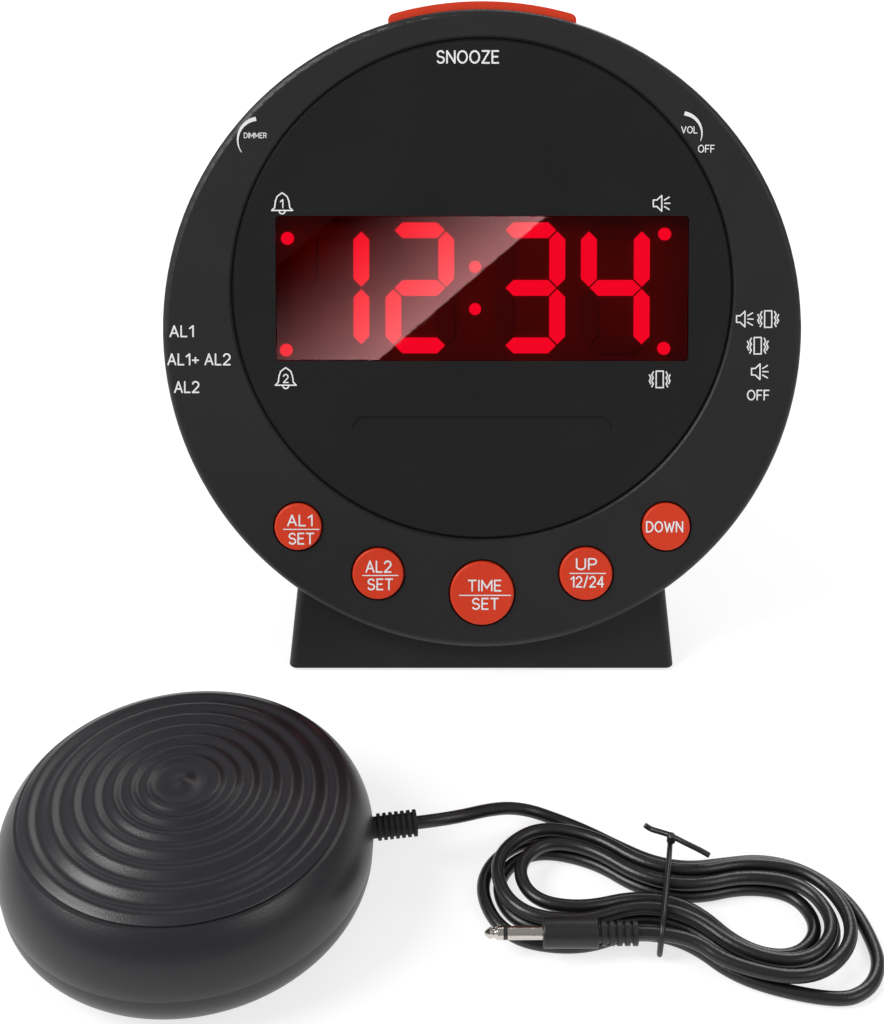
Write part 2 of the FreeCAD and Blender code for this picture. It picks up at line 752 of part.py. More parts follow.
def key_switch(across, up):
    """Switch on the key board, its plunger just beyond the travel of the key."""
    stem_end = BEZEL_WALL + SNUG + KEY_FLANGE_THICK + KEY_STEM_REACH
    front = KEY_BOARD_DEPTH - SWITCH_BODY
    half = SWITCH_SIDE / 2
    body = block(about(across, half), (front, KEY_BOARD_DEPTH), about(up, half))
    plunger = disc(SWITCH_PLUNGER_RADIUS, stem_end + KEY_TRAVEL + SNUG, front, across, up)
    return body.fuse(plunger).removeSplitter()


def snooze_round(grow):
    """Round body over the depth of the snooze bar, grown outwards or shrunk inwards."""
    bend = cover_radius(SNOOZE_BACK) + SNOOZE_BLEND
    return head_spun([
        (0, SNOOZE_FRONT),
        (HEAD_RADIUS + grow, SNOOZE_FRONT),
        (HEAD_RADIUS + grow, COVER_SHOULDER_DEPTH),
        (bend + grow, SNOOZE_BACK),
        (0, SNOOZE_BACK),
    ])


def snooze_skin(high, low):
    """Smooth body between two skins over the top of the head, as long as the snooze bar."""
    window = block(about(0.0, SNOOZE_HALF), (0, COVER_BACK_DEPTH), (0, HEAD_RADIUS + SNOOZE_THICK))
    return snooze_round(high).cut(snooze_round(low)).common(window)


def snooze_bar():
    """Curved bar through the top of the case, with a flange under the skin and a stem."""
    top = snooze_skin(SNOOZE_PROUD, SNOOZE_PROUD - SNOOZE_THICK)
    middle = HEAD_RADIUS - SNOOZE_THICK
    ends = [edge for edge in top.Edges
            if edge.BoundBox.XLength < RUNNING_FIT and edge.BoundBox.YLength > SNOOZE_THICK
            and edge.CenterOfMass.z > middle]
    top = top.makeFillet(SNOOZE_END_ROUND, ends)
    high = -BEZEL_WALL - SLIP
    low = high - SNOOZE_FLANGE_THICK
    flange = snooze_space(SNOOZE_FLANGE, low, high, BEZEL_WALL + SLIP, SNOOZE_BACK + SNOOZE_FLANGE)
    foot = SNOOZE_SWITCH_TOP + SNOOZE_PLUNGER + SNOOZE_TRAVEL + SNUG
    stem_top = cover_radius(SNOOZE_POST_DEPTH, low) + SNUG
    stem = Part.makeCylinder(SNOOZE_POST_RADIUS, stem_top - foot, Vector(0, SNOOZE_POST_DEPTH, foot), UP)
    return joined([top, flange, stem])


def snooze_switch():
    """Switch standing on the back of the main board, below the stem of the bar."""
    front = HOUSING_BACK + MAIN_BOARD_THICK
    body = block(about(0.0, SWITCH_SIDE / 2), (front, front + SNOOZE_SWITCH_BODY),
                 (SNOOZE_SWITCH_TOP - SWITCH_SIDE, SNOOZE_SWITCH_TOP))
    plunger = Part.makeCylinder(SWITCH_PLUNGER_RADIUS, SNOOZE_PLUNGER,
                                Vector(0, SNOOZE_POST_DEPTH, SNOOZE_SWITCH_TOP), UP)
    return body.fuse(plunger).removeSplitter()


# Thumbwheels and selectors

def wheel_place(angle):
    return on_circle(HEAD_RADIUS - WHEEL_INSET, angle)


def thumbwheel(angle):
    """Ribbed wheel on the shaft of its potentiometer."""
    x, up = wheel_place(angle)
    back = WHEEL_FRONT + WHEEL_THICK
    body = disc(WHEEL_RADIUS, WHEEL_FRONT, back, x, up)
    notch_radius = WHEEL_TOOTH_DEPTH
    notches = []
    for tooth in range(WHEEL_TEETH):
        across, rise = on_circle(WHEEL_RADIUS, tooth * 360 / WHEEL_TEETH)
        notches.append(disc(notch_radius, WHEEL_FRONT - OVERRUN, back + OVERRUN, x + across, up + rise))
    bore = disc(POT_SHAFT_RADIUS + RUNNING_FIT, WHEEL_FRONT - OVERRUN, back + OVERRUN, x, up)
    return body.cut(notches + [bore])


def potentiometer(angle):
    """Body on the back of the main board, with the shaft that carries the wheel."""
    x, up = wheel_place(angle)
    front = HOUSING_BACK + MAIN_BOARD_THICK
    body = disc(POT_RADIUS, front, WHEEL_FRONT - SLIP, x, up)
    shaft = disc(POT_SHAFT_RADIUS, WHEEL_FRONT - SLIP, WHEEL_FRONT + WHEEL_THICK + SLIP, x, up)
    return body.fuse(shaft).removeSplitter()


def wheel_slot(angle):
    x, up = wheel_place(angle)
    back = WHEEL_FRONT + WHEEL_THICK
    return disc(WHEEL_RADIUS + SLIP, WHEEL_FRONT - SLIP, back + SLIP, x, up)


def selector_skin(side):
    """Outside of the cover where a selector slides, as a distance from the middle."""
    return side * math.sqrt(cover_radius(SELECTOR_DEPTH) ** 2 - SELECTOR_UP ** 2)


def selector_body_outside():
    """Outer face of the switch body, clear of the wall at its deepest and lowest corner."""
    inside = cover_radius(SELECTOR_DEPTH + SELECTOR_BODY_DEPTH / 2, -COVER_WALL)
    reach = abs(SELECTOR_UP) + SELECTOR_BODY_HEIGHT / 2
    return math.sqrt(inside ** 2 - reach ** 2) - SELECTOR_BODY_GAP


def sideways(side, near, far):
    """Limits across, from two distances from the middle on one side."""
    return tuple(sorted((side * near, side * far)))


def selector_cap(side, start):
    """Ribbed cap outside the cover and its stem through the slot; start is the place at rest."""
    skin = abs(selector_skin(side))
    up = SELECTOR_UP + start
    depth = about(SELECTOR_DEPTH, SELECTOR_CAP_DEPTH / 2)
    cap = block(sideways(side, skin + SELECTOR_CAP_LIFT, skin + SELECTOR_CAP_LIFT + SELECTOR_CAP_PROUD),
                depth, about(up, SELECTOR_CAP_HEIGHT / 2))
    pitch = SELECTOR_CAP_HEIGHT / (SELECTOR_RIBS + 1)
    grooves = []
    for rib in range(1, SELECTOR_RIBS + 1):
        middle = up - SELECTOR_CAP_HEIGHT / 2 + pitch * rib
        outside = skin + SELECTOR_CAP_LIFT + SELECTOR_CAP_PROUD
        grooves.append(block(sideways(side, outside - SELECTOR_RIB, outside + SELECTOR_RIB),
                             (0, COVER_BACK_DEPTH), about(middle, SELECTOR_RIB / 2)))
    stem = block(sideways(side, selector_body_outside() + SNUG, skin + SELECTOR_CAP_LIFT),
                 about(SELECTOR_DEPTH, SELECTOR_STEM_DEPTH / 2), about(up, SELECTOR_STEM_HEIGHT / 2))
    return cap.cut(grooves).fuse(stem).removeSplitter()


def selector_switch(side):
    """Slide switch standing on the back of the main board."""
    outer = selector_body_outside()
    front = HOUSING_BACK + MAIN_BOARD_THICK
    back = SELECTOR_DEPTH + SELECTOR_BODY_DEPTH / 2
    return block(sideways(side, outer - SELECTOR_BODY_THICK, outer), (front, back),
                 about(SELECTOR_UP, SELECTOR_BODY_HEIGHT / 2))


def selector_slot(side, travel):
    """Slot in the cover, as long as the travel and the stem."""
    skin = abs(selector_skin(side))
    half = (travel + SELECTOR_STEM_HEIGHT) / 2 + SLIP
    return block(sideways(side, skin - SELECTOR_SLOT_REACH, skin + SELECTOR_CAP_PROUD),
                 about(SELECTOR_DEPTH, SELECTOR_STEM_DEPTH / 2 + SLIP), about(SELECTOR_UP, half))


# Speaker, battery and inlets, all carried by the rear cover

def cover_inside():
    """Depth of the inner side of the back wall."""
    return COVER_BACK_DEPTH - COVER_WALL


def speaker_frame():
    back = cover_inside()
    basket = back - SPEAKER_BASKET
    outline = [
        (SPEAKER_RADIUS, back), (SPEAKER_RADIUS, back - SPEAKER_RIM_THICK),
        (SPEAKER_RADIUS - SPEAKER_RIM_THICK, back - SPEAKER_RIM_THICK),
        (SPEAKER_MAGNET_RADIUS, basket), (SPEAKER_CAP_RADIUS, basket),
        (SPEAKER_CAP_RADIUS, basket + SPEAKER_RIM_THICK),
        (SPEAKER_MAGNET_RADIUS, basket + SPEAKER_RIM_THICK),
        (SPEAKER_RADIUS - SPEAKER_RIM, back - SPEAKER_RIM_THICK), (SPEAKER_RADIUS - SPEAKER_RIM, back),
    ]
    return lifted(head_spun(outline))


def speaker_magnet():
    front = cover_inside() - SPEAKER_BASKET
    return disc(SPEAKER_MAGNET_RADIUS, front - SPEAKER_MAGNET_THICK, front, 0, SPEAKER_UP)


def speaker_cone():
    """Paper cone with its dust cap, glued inside the rim of the frame."""
    back = cover_inside()
    rim = SPEAKER_RADIUS - SPEAKER_RIM - RUNNING_FIT
    throat = back - SPEAKER_BASKET + SPEAKER_RIM_THICK + SLIP + SPEAKER_CONE_SEAT
    edge = back - SPEAKER_RIM_THICK
    dome = throat + SPEAKER_CONE_THICK
    outline = [
        (0, throat),
        (SPEAKER_CAP_RADIUS, throat),
        (rim - SPEAKER_RIM, edge),
        (rim, edge),
        (rim, edge + SPEAKER_CONE_THICK),
        (rim - SPEAKER_RIM, edge + SPEAKER_CONE_THICK),
        (SPEAKER_CAP_RADIUS, dome),
        (SPEAKER_CAP_RADIUS * SPEAKER_DOME_SHARE, dome + SPEAKER_DOME_RISE * SPEAKER_DOME_RISE_SHARE),
        (0, dome + SPEAKER_DOME_RISE),
    ]
    return lifted(head_spun(outline))


def lifted(shape):
    """Move a piece drawn about the middle of the face to the middle of the speaker."""
    placed = shape.copy()
    placed.translate(Vector(0, 0, SPEAKER_UP))
    return placed


def grille_holes():
    """Rings of holes round one in the middle, in a honeycomb count."""
    places = [(0.0, 0.0)]
    for ring in range(1, GRILLE_RINGS):
        count = GRILLE_SIDES * ring
        places += [on_circle(GRILLE_PITCH * ring, 360 * step / count) for step in range(count)]
    front, back = cover_inside() - OVERRUN, COVER_BACK_DEPTH + OVERRUN
    return [disc(GRILLE_HOLE, front, back, x, SPEAKER_UP + up) for x, up in places]


def battery_back():
    """Depth of the side of the battery that faces the door."""
    return COVER_BACK_DEPTH - DOOR_THICK - SNUG


def bay_limits(grow):
    """Limits of the bay across and up, with the clip beside the battery."""
    half = BATTERY_WIDTH / 2 + SLIP + grow
    across = (BATTERY_X - half, BATTERY_X + half + CLIP_THICK + TERMINAL_HEIGHT)
    return across, about(BATTERY_UP, BATTERY_HEIGHT / 2 + SLIP + grow)


def backup_battery():
    back = battery_back()
    body = block(about(BATTERY_X, BATTERY_WIDTH / 2), (back - BATTERY_THICK, back),
                 about(BATTERY_UP, BATTERY_HEIGHT / 2))
    body = body.makeFillet(BATTERY_ROUND, edges_along(body, ALONG_X))
    middle = back - BATTERY_THICK / 2
    start = BATTERY_X + BATTERY_WIDTH / 2
    terminals = [rod(TERMINAL_RADIUS, start, start + TERMINAL_HEIGHT, middle, up)
                 for up in about(BATTERY_UP, BATTERY_HEIGHT * TERMINAL_PLACE_SHARE)]
    return joined([body] + terminals)


def battery_clip():
    back = battery_back()
    start = BATTERY_X + BATTERY_WIDTH / 2 + TERMINAL_HEIGHT
    return block((start, start + CLIP_THICK), (back - BATTERY_THICK, back - SLIP),
                 about(BATTERY_UP, BATTERY_HEIGHT / 2 - SLIP))


def battery_door():
    across, up = bay_limits(DOOR_LIP - SNUG)
    back = COVER_BACK_DEPTH
    plate = rounded_block(across, (back - DOOR_THICK, back), up, DOOR_LIP)
    middle = (across[0] + across[1]) / 2
    latch = block(about(middle, DOOR_LATCH), (back, back + DOOR_LATCH_THICK),
                  (up[1] - DOOR_LIP, up[1] - DOOR_LIP / 2))
    return joined([plate, latch])


def battery_bay():
    """Walls of the bay, part of the rear cover."""
    across, up = bay_limits(BAY_WALL)
    inner_across, inner_up = bay_limits(0.0)
    floor = battery_back() - BATTERY_THICK - SNUG
    outer = block(across, (floor - BAY_WALL, COVER_BACK_DEPTH - DOOR_THICK), up)
    return outer, block(inner_across, (floor, COVER_BACK_DEPTH + OVERRUN), inner_up)


def socket(across, bore, length, pin):
    """Socket behind the back wall; its mouth is flush with a small collar."""
    mouth = COVER_BACK_DEPTH + INLET_COLLAR_PROUD
    seat = cover_inside() - SNUG
    body = block(about(across, INLET_BODY / 2), (mouth - length - COVER_WALL, seat),
                 about(INLET_UP, INLET_BODY / 2))
    collar = disc(INLET_COLLAR, seat, mouth, across, INLET_UP)
    body = body.fuse(collar).cut(disc(bore, mouth - length, mouth + OVERRUN, across, INLET_UP))
    if pin:
        body = body.fuse(disc(pin, mouth - length, mouth - INLET_COLLAR_PROUD - SLIP, across, INLET_UP))
    return body.removeSplitter()


def rear_cover():
    """Tapered shell with its wells, posts and bay."""
    outer = head_spun([
        (0, BEZEL_DEPTH), (HEAD_RADIUS - PARTING_STEP, BEZEL_DEPTH),
        (HEAD_RADIUS - PARTING_STEP, COVER_SHOULDER_DEPTH), (COVER_BEND_RADIUS, COVER_BEND_DEPTH),
        (COVER_BACK_RADIUS, COVER_BACK_DEPTH), (0, COVER_BACK_DEPTH),
    ])
    outer = outer.makeFillet(COVER_EDGE_ROUND, edges_at(outer, COVER_BACK_DEPTH))
    inner = head_spun([
        (0, BEZEL_DEPTH - OVERRUN), (HEAD_RADIUS - PARTING_STEP - COVER_WALL, BEZEL_DEPTH - OVERRUN),
        (HEAD_RADIUS - PARTING_STEP - COVER_WALL, COVER_SHOULDER_DEPTH),
        (COVER_BEND_RADIUS - COVER_WALL, COVER_BEND_DEPTH - COVER_WALL / 2),
        (COVER_BACK_RADIUS - COVER_WALL, cover_inside()), (0, cover_inside()),
    ])
    shell = outer.cut(inner)
    bay_outer, bay_inner = battery_bay()
    added = [bay_outer]
    taken = [bay_inner]
    for x, up in case_wells():
        tube = disc(CASE_POST_RADIUS, CASE_SEAT_DEPTH - CASE_SEAT_THICK, COVER_BACK_DEPTH, x, up)
        added.append(tube.common(outer))
        taken.append(disc(CASE_WELL_RADIUS, CASE_SEAT_DEPTH, COVER_BACK_DEPTH + OVERRUN, x, up))
        taken.append(disc(CASE_SCREW_RADIUS + RUNNING_FIT, 0, COVER_BACK_DEPTH, x, up))
    screw_top = STAND_SCREW_HEIGHT + STAND_SCREW_LENGTH
    for x, y in STAND_POSTS:
        upright = post(HEAD_POST_RADIUS, 0, screw_top, x, y)
        added.append(stand_frame(upright).common(outer))
        taken.append(stand_frame(post(STAND_SCREW_RADIUS + RUNNING_FIT, 0, screw_top - STAND_WALL, x, y)))
    for angle in (DIMMER_ANGLE, VOLUME_ANGLE):
        taken.append(wheel_slot(angle))
    taken.append(selector_slot(-1, ALARM_TRAVEL))
    taken.append(selector_slot(1, MODE_TRAVEL))
    taken.append(snooze_space(SLIP, snooze_room(), OVERRUN, 0, SNOOZE_BACK + SLIP))
    taken += grille_holes()
    beyond = COVER_BACK_DEPTH + OVERRUN
    for across in (INLET_X, -INLET_X):
        taken.append(disc(INLET_COLLAR + SNUG, cover_inside() - OVERRUN, beyond, across, INLET_UP))
    door_across, door_up = bay_limits(DOOR_LIP)
    door_seat = COVER_BACK_DEPTH - DOOR_THICK - SNUG / 2
    taken.append(rounded_block(door_across, (door_seat, beyond), door_up, DOOR_LIP))
    return joined([shell] + added).cut(taken)


def stand_frame(shape):
    """Bring a piece drawn on the table into the frame of the head."""
    placed = shape.copy()
    placed.translate(Vector(0, -HEAD_BACK_SET, -FACE_HEIGHT))
    placed.rotate(Vector(0, 0, 0), ALONG_X, HEAD_LEAN)
    return placed


def case_screws():
    shapes = []
    reach = CASE_SEAT_DEPTH - BEZEL_WALL - SLIP - SNUG
    for x, up in case_wells():
        shapes.append(screw(x, up, CASE_SEAT_DEPTH, reach,
                            CASE_SCREW_RADIUS, CASE_SCREW_HEAD, SCREW_HEAD_THICK))
    return shapes


# Stand

def stand_block(inset, low, high):
    """Tapered block of the stand between two heights, drawn in on all sides by an inset."""
    sections = []
    for height in (low, high):
        share = (height - STAND_TABLE_GAP) / STAND_HEIGHT
        half = STAND_HALF_WIDTH + (STAND_HALF_WIDTH_TOP - STAND_HALF_WIDTH) * share - inset
        front = STAND_FRONT + (height - STAND_TABLE_GAP) * math.tan(LEAN) + inset
        back = STAND_BACK + (STAND_BACK_TOP - STAND_BACK) * share - inset
        corners = [Vector(-half, front, height), Vector(half, front, height),
                   Vector(half, back, height), Vector(-half, back, height)]
        sections.append(Part.makePolygon(corners + [corners[0]]))
    return Part.makeLoft(sections, True, True)


def stand():
    """Hollow cradle under the head."""
    top = STAND_TABLE_GAP + STAND_HEIGHT
    body = stand_block(0.0, STAND_TABLE_GAP, top)
    corners = [e for e in body.Edges if e.BoundBox.ZLength > STAND_HEIGHT / 2]
    body = body.makeFillet(STAND_EDGE_ROUND, corners)
    head = lean_back(head_envelope(SLIP, -OVERRUN))
    saddle = lean_back(head_envelope(SLIP + STAND_WALL, -STAND_WALL))
    hollow = stand_block(STAND_WALL, STAND_TABLE_GAP - OVERRUN, top + OVERRUN).cut(saddle)
    shell = body.cut([head, hollow])
    posts = []
    for x, y in STAND_POSTS:
        posts.append(post(STAND_POST_RADIUS, base_top() + SLIP, top, x, y).common(body).cut(head))
    shell = joined([shell] + posts)
    taken = []
    for x, y in STAND_POSTS:
        taken.append(post(STAND_SCREW_HEAD + SLIP, 0, STAND_SCREW_HEIGHT, x, y))
        taken.append(post(STAND_SCREW_RADIUS + RUNNING_FIT, 0, top, x, y))
    door_across, door_up = bay_limits(DOOR_LIP + SLIP)
    taken.append(lean_back(block(door_across, (COVER_BACK_DEPTH - DOOR_THICK, HEAD_RADIUS), door_up)))
    return max(shell.cut(taken).Solids, key=lambda solid: solid.Volume)


def base_top():
    return STAND_TABLE_GAP + STAND_BASE_THICK


def pad_outline(grow, low, high):
    """Rounded slab of the non-slip pad."""
    body = block(about(0.0, PAD_LENGTH / 2 + grow), about(0.0, PAD_DEPTH / 2 + grow), (low, high))
    edges = [e for e in body.Edges if e.BoundBox.ZLength > (high - low) / 2]
    return body.makeFillet(PAD_CORNER, edges)


def stand_base():
    """Plate that closes the stand, with a shallow seat for the pad."""
    inset = STAND_WALL + 2 * SLIP
    plate = stand_block(inset, STAND_TABLE_GAP, base_top())
    return plate.cut(pad_outline(SNUG, 0, PAD_THICK))


def stand_screws():
    shapes = []
    seat = STAND_SCREW_HEIGHT
    end = seat + STAND_SCREW_LENGTH - STAND_WALL - SLIP
    for x, y in STAND_POSTS:
        head = post(STAND_SCREW_HEAD, seat - STAND_SCREW_HEAD_THICK, seat, x, y)
        shapes.append(head.fuse(post(STAND_SCREW_RADIUS, seat, end, x, y)).removeSplitter())
    return shapes


# Shaker, drawn about its own axis and then put in its place

def at_shaker(shape):
    placed = shape.copy()
    placed.translate(Vector(SHAKER_X, SHAKER_Y, 0))
    return placed


def revolved(edges):
    """Solid of revolution about Z from the edges of a closed outline."""
    return Part.Face(Part.Wire(edges)).revolve(Vector(0, 0, 0), UP, 360)


def at(radius, height):
    return Vector(radius, 0, height)


def line(start, end):
    return Part.LineSegment(start, end).toShape()


def arc(start, middle, end):
    return Part.Arc(start, middle, end).toShape()


def ripple_radius(turns):
    """Radius after a number of ripples, each a little wider than the one inside it."""
    growth = RIPPLE_PITCH_GROWTH * turns * (turns - 1) / 2
    return RIPPLE_START + RIPPLE_PITCH * turns + growth


def crown_edge():
    """Radius where the ripples end and the shoulder begins."""
    return ripple_radius(RIPPLE_COUNT)


def crown(radius):
    """Height of the shallow crown under the ripples."""
    return SHAKER_THICK - KNOB_RISE - CROWN_DROP * (radius / crown_edge()) ** 2


def knob_height(radius):
    """Height over the round knob, down to the dip around it."""
    wave = math.cos(math.pi * min(radius / KNOB_RADIUS, 1.0))
    return crown(radius) + KNOB_RISE * (1 + wave) / 2 - RIPPLE_HEIGHT * RIPPLE_INNER_SHARE / 2


def ripple_height(turns):
    """Height after a number of ripples, which grow towards the edge."""
    swell = RIPPLE_INNER_SHARE + (1 - RIPPLE_INNER_SHARE) * turns / RIPPLE_COUNT
    return crown(ripple_radius(turns)) - RIPPLE_HEIGHT * swell / 2 * math.cos(2 * math.pi * turns)


def rippled_curve():
    """Outline of the rippled top, level at the middle of the knob and along the crown at its end."""
    places = []
    for step in range(KNOB_STEPS + 1):
        radius = KNOB_RADIUS * step / KNOB_STEPS
        places.append(at(radius, knob_height(radius)))
    for step in range(RIPPLE_COUNT * RIPPLE_STEPS + 1):
        turns = step / RIPPLE_STEPS
        places.append(at(ripple_radius(turns), ripple_height(turns)))
    last_dip = places[-1 - RIPPLE_STEPS]
    curve = Part.BSplineCurve()
    curve.interpolate(Points=places, InitialTangent=at(RIPPLE_PITCH, 0), FinalTangent=places[-1] - last_dip)
    return curve.toShape()


def shoulder_points(grow):
    """Three points of the shoulder arc, and three of the arc below the widest place."""
    edge = crown_edge()
    top = at(edge + grow / 2, ripple_height(RIPPLE_COUNT) + grow)
    high = at(edge + (SHAKER_RADIUS - edge) * SHOULDER_SHARE + grow, SHAKER_WIDEST + SHOULDER_RISE + grow / 2)
    wide = at(SHAKER_RADIUS + grow, SHAKER_WIDEST)
    heel = SHAKER_FOOT_RADIUS + (SHAKER_RADIUS - SHAKER_FOOT_RADIUS) * HEEL_SHARE
    low = at(heel + grow, HEEL_HEIGHT - grow / 2)
    foot = at(SHAKER_FOOT_RADIUS, SHAKER_FOOT_RISE - grow)
    return top, high, wide, low, foot


def shaker_room():
    """Space inside both shells."""
    top, high, wide, low, foot = shoulder_points(-SHAKER_WALL)
    axis_top = at(0, SHAKER_THICK - KNOB_RISE - SHAKER_WALL - RIPPLE_HEIGHT)
    flat = at(top.x, axis_top.z - CROWN_DROP)
    middle = at(top.x * CROWN_MIDDLE_SHARE, axis_top.z - CROWN_DROP * CROWN_MIDDLE_SHARE ** 2)
    return revolved([arc(axis_top, middle, flat), arc(flat, high, wide), arc(wide, low, foot),
                     line(foot, at(0, foot.z)), line(at(0, foot.z), axis_top)])


def shaker_posts():
    return [on_circle(SHAKER_POST_PLACE, angle) for angle in SHAKER_POST_ANGLES]


def relief_hole():
    """Hole for the strain relief through the side of both shells."""
    start = SHAKER_RADIUS - RELIEF_HOLE_REACH
    hole = rod(RELIEF_RADIUS + SNUG, start, SHAKER_RADIUS + OVERRUN, 0, EXIT_HEIGHT)
    hole.rotate(Vector(0, 0, 0), UP, EXIT_ANGLE)
    return hole


def shaker_top():
    top, high, wide, low, foot = shoulder_points(0.0)
    curve = rippled_curve()
    start, end = at(0, knob_height(0)), curve.Vertexes[-1].Point
    seam = at(0, SHAKER_WIDEST)
    outer = revolved([curve, arc(end, high, wide), line(wide, seam), line(seam, start)])
    shell = outer.cut(shaker_room())
    posts = [post(SHAKER_POST_RADIUS, SHAKER_WIDEST + SNUG, SHAKER_THICK, x, y).common(outer)
             for x, y in shaker_posts()]
    shell = joined([shell] + posts)
    holes = [post(SCREW_RADIUS + RUNNING_FIT, 0, SHAKER_WIDEST + SCREW_BITE, x, y) for x, y in shaker_posts()]
    return shell.cut(holes + [relief_hole()])


def shaker_base():
    top, high, wide, low, foot = shoulder_points(0.0)
    outer = revolved([arc(wide, low, foot), line(foot, at(0, foot.z)),
                      line(at(0, foot.z), at(0, SHAKER_WIDEST)), line(at(0, SHAKER_WIDEST), wide)])
    shell = outer.cut(shaker_room())
    posts = [post(SHAKER_POST_RADIUS, 0, SHAKER_WIDEST, x, y).common(outer) for x, y in shaker_posts()]
    shell = joined([shell] + posts)
    holes = [post(SCREW_RADIUS + RUNNING_FIT, 0, SHAKER_THICK, x, y) for x, y in shaker_posts()]
    holes += [post(SCREW_HEAD_RADIUS + SNUG, 0, SHAKER_SCREW_SEAT, x, y) for x, y in shaker_posts()]
    return shell.cut(holes + [relief_hole()])


def shaker_pad():
    """Rubber ring under the shaker."""
    outer = post(SHAKER_PAD_RADIUS, 0, SHAKER_FOOT_RISE, 0, 0)
    return outer.cut(post(SHAKER_PAD_RADIUS - SHAKER_PAD_WIDTH, 0, SHAKER_FOOT_RISE, 0, 0))


def shaker_screws():
    shapes = []
    for x, y in shaker_posts():
        head = post(SCREW_HEAD_RADIUS, SHAKER_SCREW_SEAT - SCREW_HEAD_THICK, SHAKER_SCREW_SEAT, x, y)
        shaft = post(SCREW_RADIUS, SHAKER_SCREW_SEAT, SHAKER_WIDEST + SCREW_BITE - SLIP, x, y)
        shapes.append(head.fuse(shaft).removeSplitter())
    return shapes


def motor_middle():
    """Height of the motor's axis above the table, with its clamp on the floor of the shell."""
    return SHAKER_FOOT_RISE + SHAKER_WALL + CLAMP_THICK + MOTOR_RADIUS


def motor_can():
    start, end = about(MOTOR_X, MOTOR_LENGTH / 2)
    body = rod(MOTOR_RADIUS, start, end, 0, motor_middle())
    return body.cut(rod(MOTOR_SHAFT_RADIUS + RUNNING_FIT, MOTOR_X, end + OVERRUN, 0, motor_middle()))


def motor_shaft():
    end = MOTOR_X + MOTOR_LENGTH / 2 + MOTOR_SHAFT_REACH
    return rod(MOTOR_SHAFT_RADIUS, MOTOR_X + RUNNING_FIT, end, 0, motor_middle())


def eccentric_weight():
    """Half-round weight below the shaft, with its hub."""
    start = MOTOR_X + MOTOR_LENGTH / 2 + WEIGHT_START
    end = start + WEIGHT_LENGTH
    wheel = rod(WEIGHT_RADIUS, start, end, 0, motor_middle())
    lower = block((start, end), about(0.0, WEIGHT_RADIUS), (0, motor_middle()))
    hub = rod(WEIGHT_HUB_RADIUS, start, end, 0, motor_middle())
    bore = rod(MOTOR_SHAFT_RADIUS + RUNNING_FIT, start - OVERRUN, end + OVERRUN, 0, motor_middle())
    return wheel.common(lower).fuse(hub).cut(bore).removeSplitter()


def motor_clamp():
    """Strap round the motor with two feet on the floor of the shell."""
    half = CLAMP_WIDTH / 2
    x = about(MOTOR_X, half)
    ring = rod(MOTOR_RADIUS + CLAMP_THICK, x[0], x[1], 0, motor_middle())
    floor = SHAKER_FOOT_RISE + SHAKER_WALL
    reach = MOTOR_RADIUS + CLAMP_THICK
    legs = block(x, about(0.0, reach), (floor, motor_middle()))
    feet = block(x, about(0.0, reach + CLAMP_FOOT), (floor, floor + CLAMP_THICK))
    body = joined([ring, legs, feet])
    return body.cut(rod(MOTOR_RADIUS + RUNNING_FIT, x[0] - OVERRUN, x[1] + OVERRUN, 0, motor_middle()))


def strain_relief():
    """Ribbed sleeve from inside the shell to where the cord leaves it."""
    start = SHAKER_RADIUS - RELIEF_INSIDE
    end = SHAKER_RADIUS + RELIEF_REACH
    flange_end = SHAKER_RADIUS - SHAKER_WALL - RELIEF_FLANGE_SET
    pieces = [rod(RELIEF_RADIUS, start, end, 0, EXIT_HEIGHT)]
    pieces.append(rod(RELIEF_RIB_RADIUS + SNUG, start, flange_end, 0, EXIT_HEIGHT))
    pitch = (RELIEF_REACH - RELIEF_RIB_GAP) / RELIEF_RIBS
    for rib in range(RELIEF_RIBS):
        front = SHAKER_RADIUS + RELIEF_RIB_GAP + pitch * rib
        pieces.append(rod(RELIEF_RIB_RADIUS, front + pitch / 2, front + pitch, 0, EXIT_HEIGHT))
    body = joined(pieces)
    body.rotate(Vector(0, 0, 0), UP, EXIT_ANGLE)
    return body


# Cord: straight runs joined by tangent arcs, and a hank of tangent arcs

def bend(start, corner, end):
    """Arc that touches both legs of a corner, with legs of equal length."""
    middle = (start + end) * 0.5
    half = (end - start).Length / 2
    leg = (corner - start).Length
    side = corner - middle
    if side.Length < RUNNING_FIT * RUNNING_FIT:
        return line(start, end)
    turn = math.acos(min(half / leg, 1.0))
    return arc(start, middle + side.normalize() * half * math.tan(turn / 2), end)


def route(points):
    """Edges along hand-chosen points: straight runs with an arc at each inner point."""
    edges = []
    place = points[0]
    for before, corner, after in zip(points, points[1:], points[2:]):
        leg = ARC_SHARE * min((corner - before).Length, (after - corner).Length)
        start = corner + (before - corner).normalize() * leg
        end = corner + (after - corner).normalize() * leg
        edges.append(line(place, start))
        edges.append(bend(start, corner, end))
        place = end
    edges.append(line(place, points[-1]))
    return edges


def double_bend(start, heading, end, end_heading):
    """Two tangent arcs from one place and heading to another."""
    across = end - start
    both = heading + end_heading
    spread = 2 * (1 - heading.dot(end_heading))
    ahead = across.dot(both)
    if spread < RUNNING_FIT * RUNNING_FIT:
        leg = across.dot(across) / (2 * ahead)
    else:
        leg = (math.sqrt(ahead ** 2 + spread * across.dot(across)) - ahead) / spread
    first = start + heading * leg
    second = end - end_heading * leg
    joint = (first + second) * 0.5
    return [bend(start, first, joint), bend(joint, second, end)]


def tube(edges):
    """Round cord along a chain of tangent edges."""
    wire = Part.Wire(edges)
    first = edges[0]
    begin = first.FirstParameter
    ring = Part.makeCircle(CORD_RADIUS, first.valueAt(begin), first.tangentAt(begin))
    return wire.makePipeShell([Part.Wire(ring)], True, False)


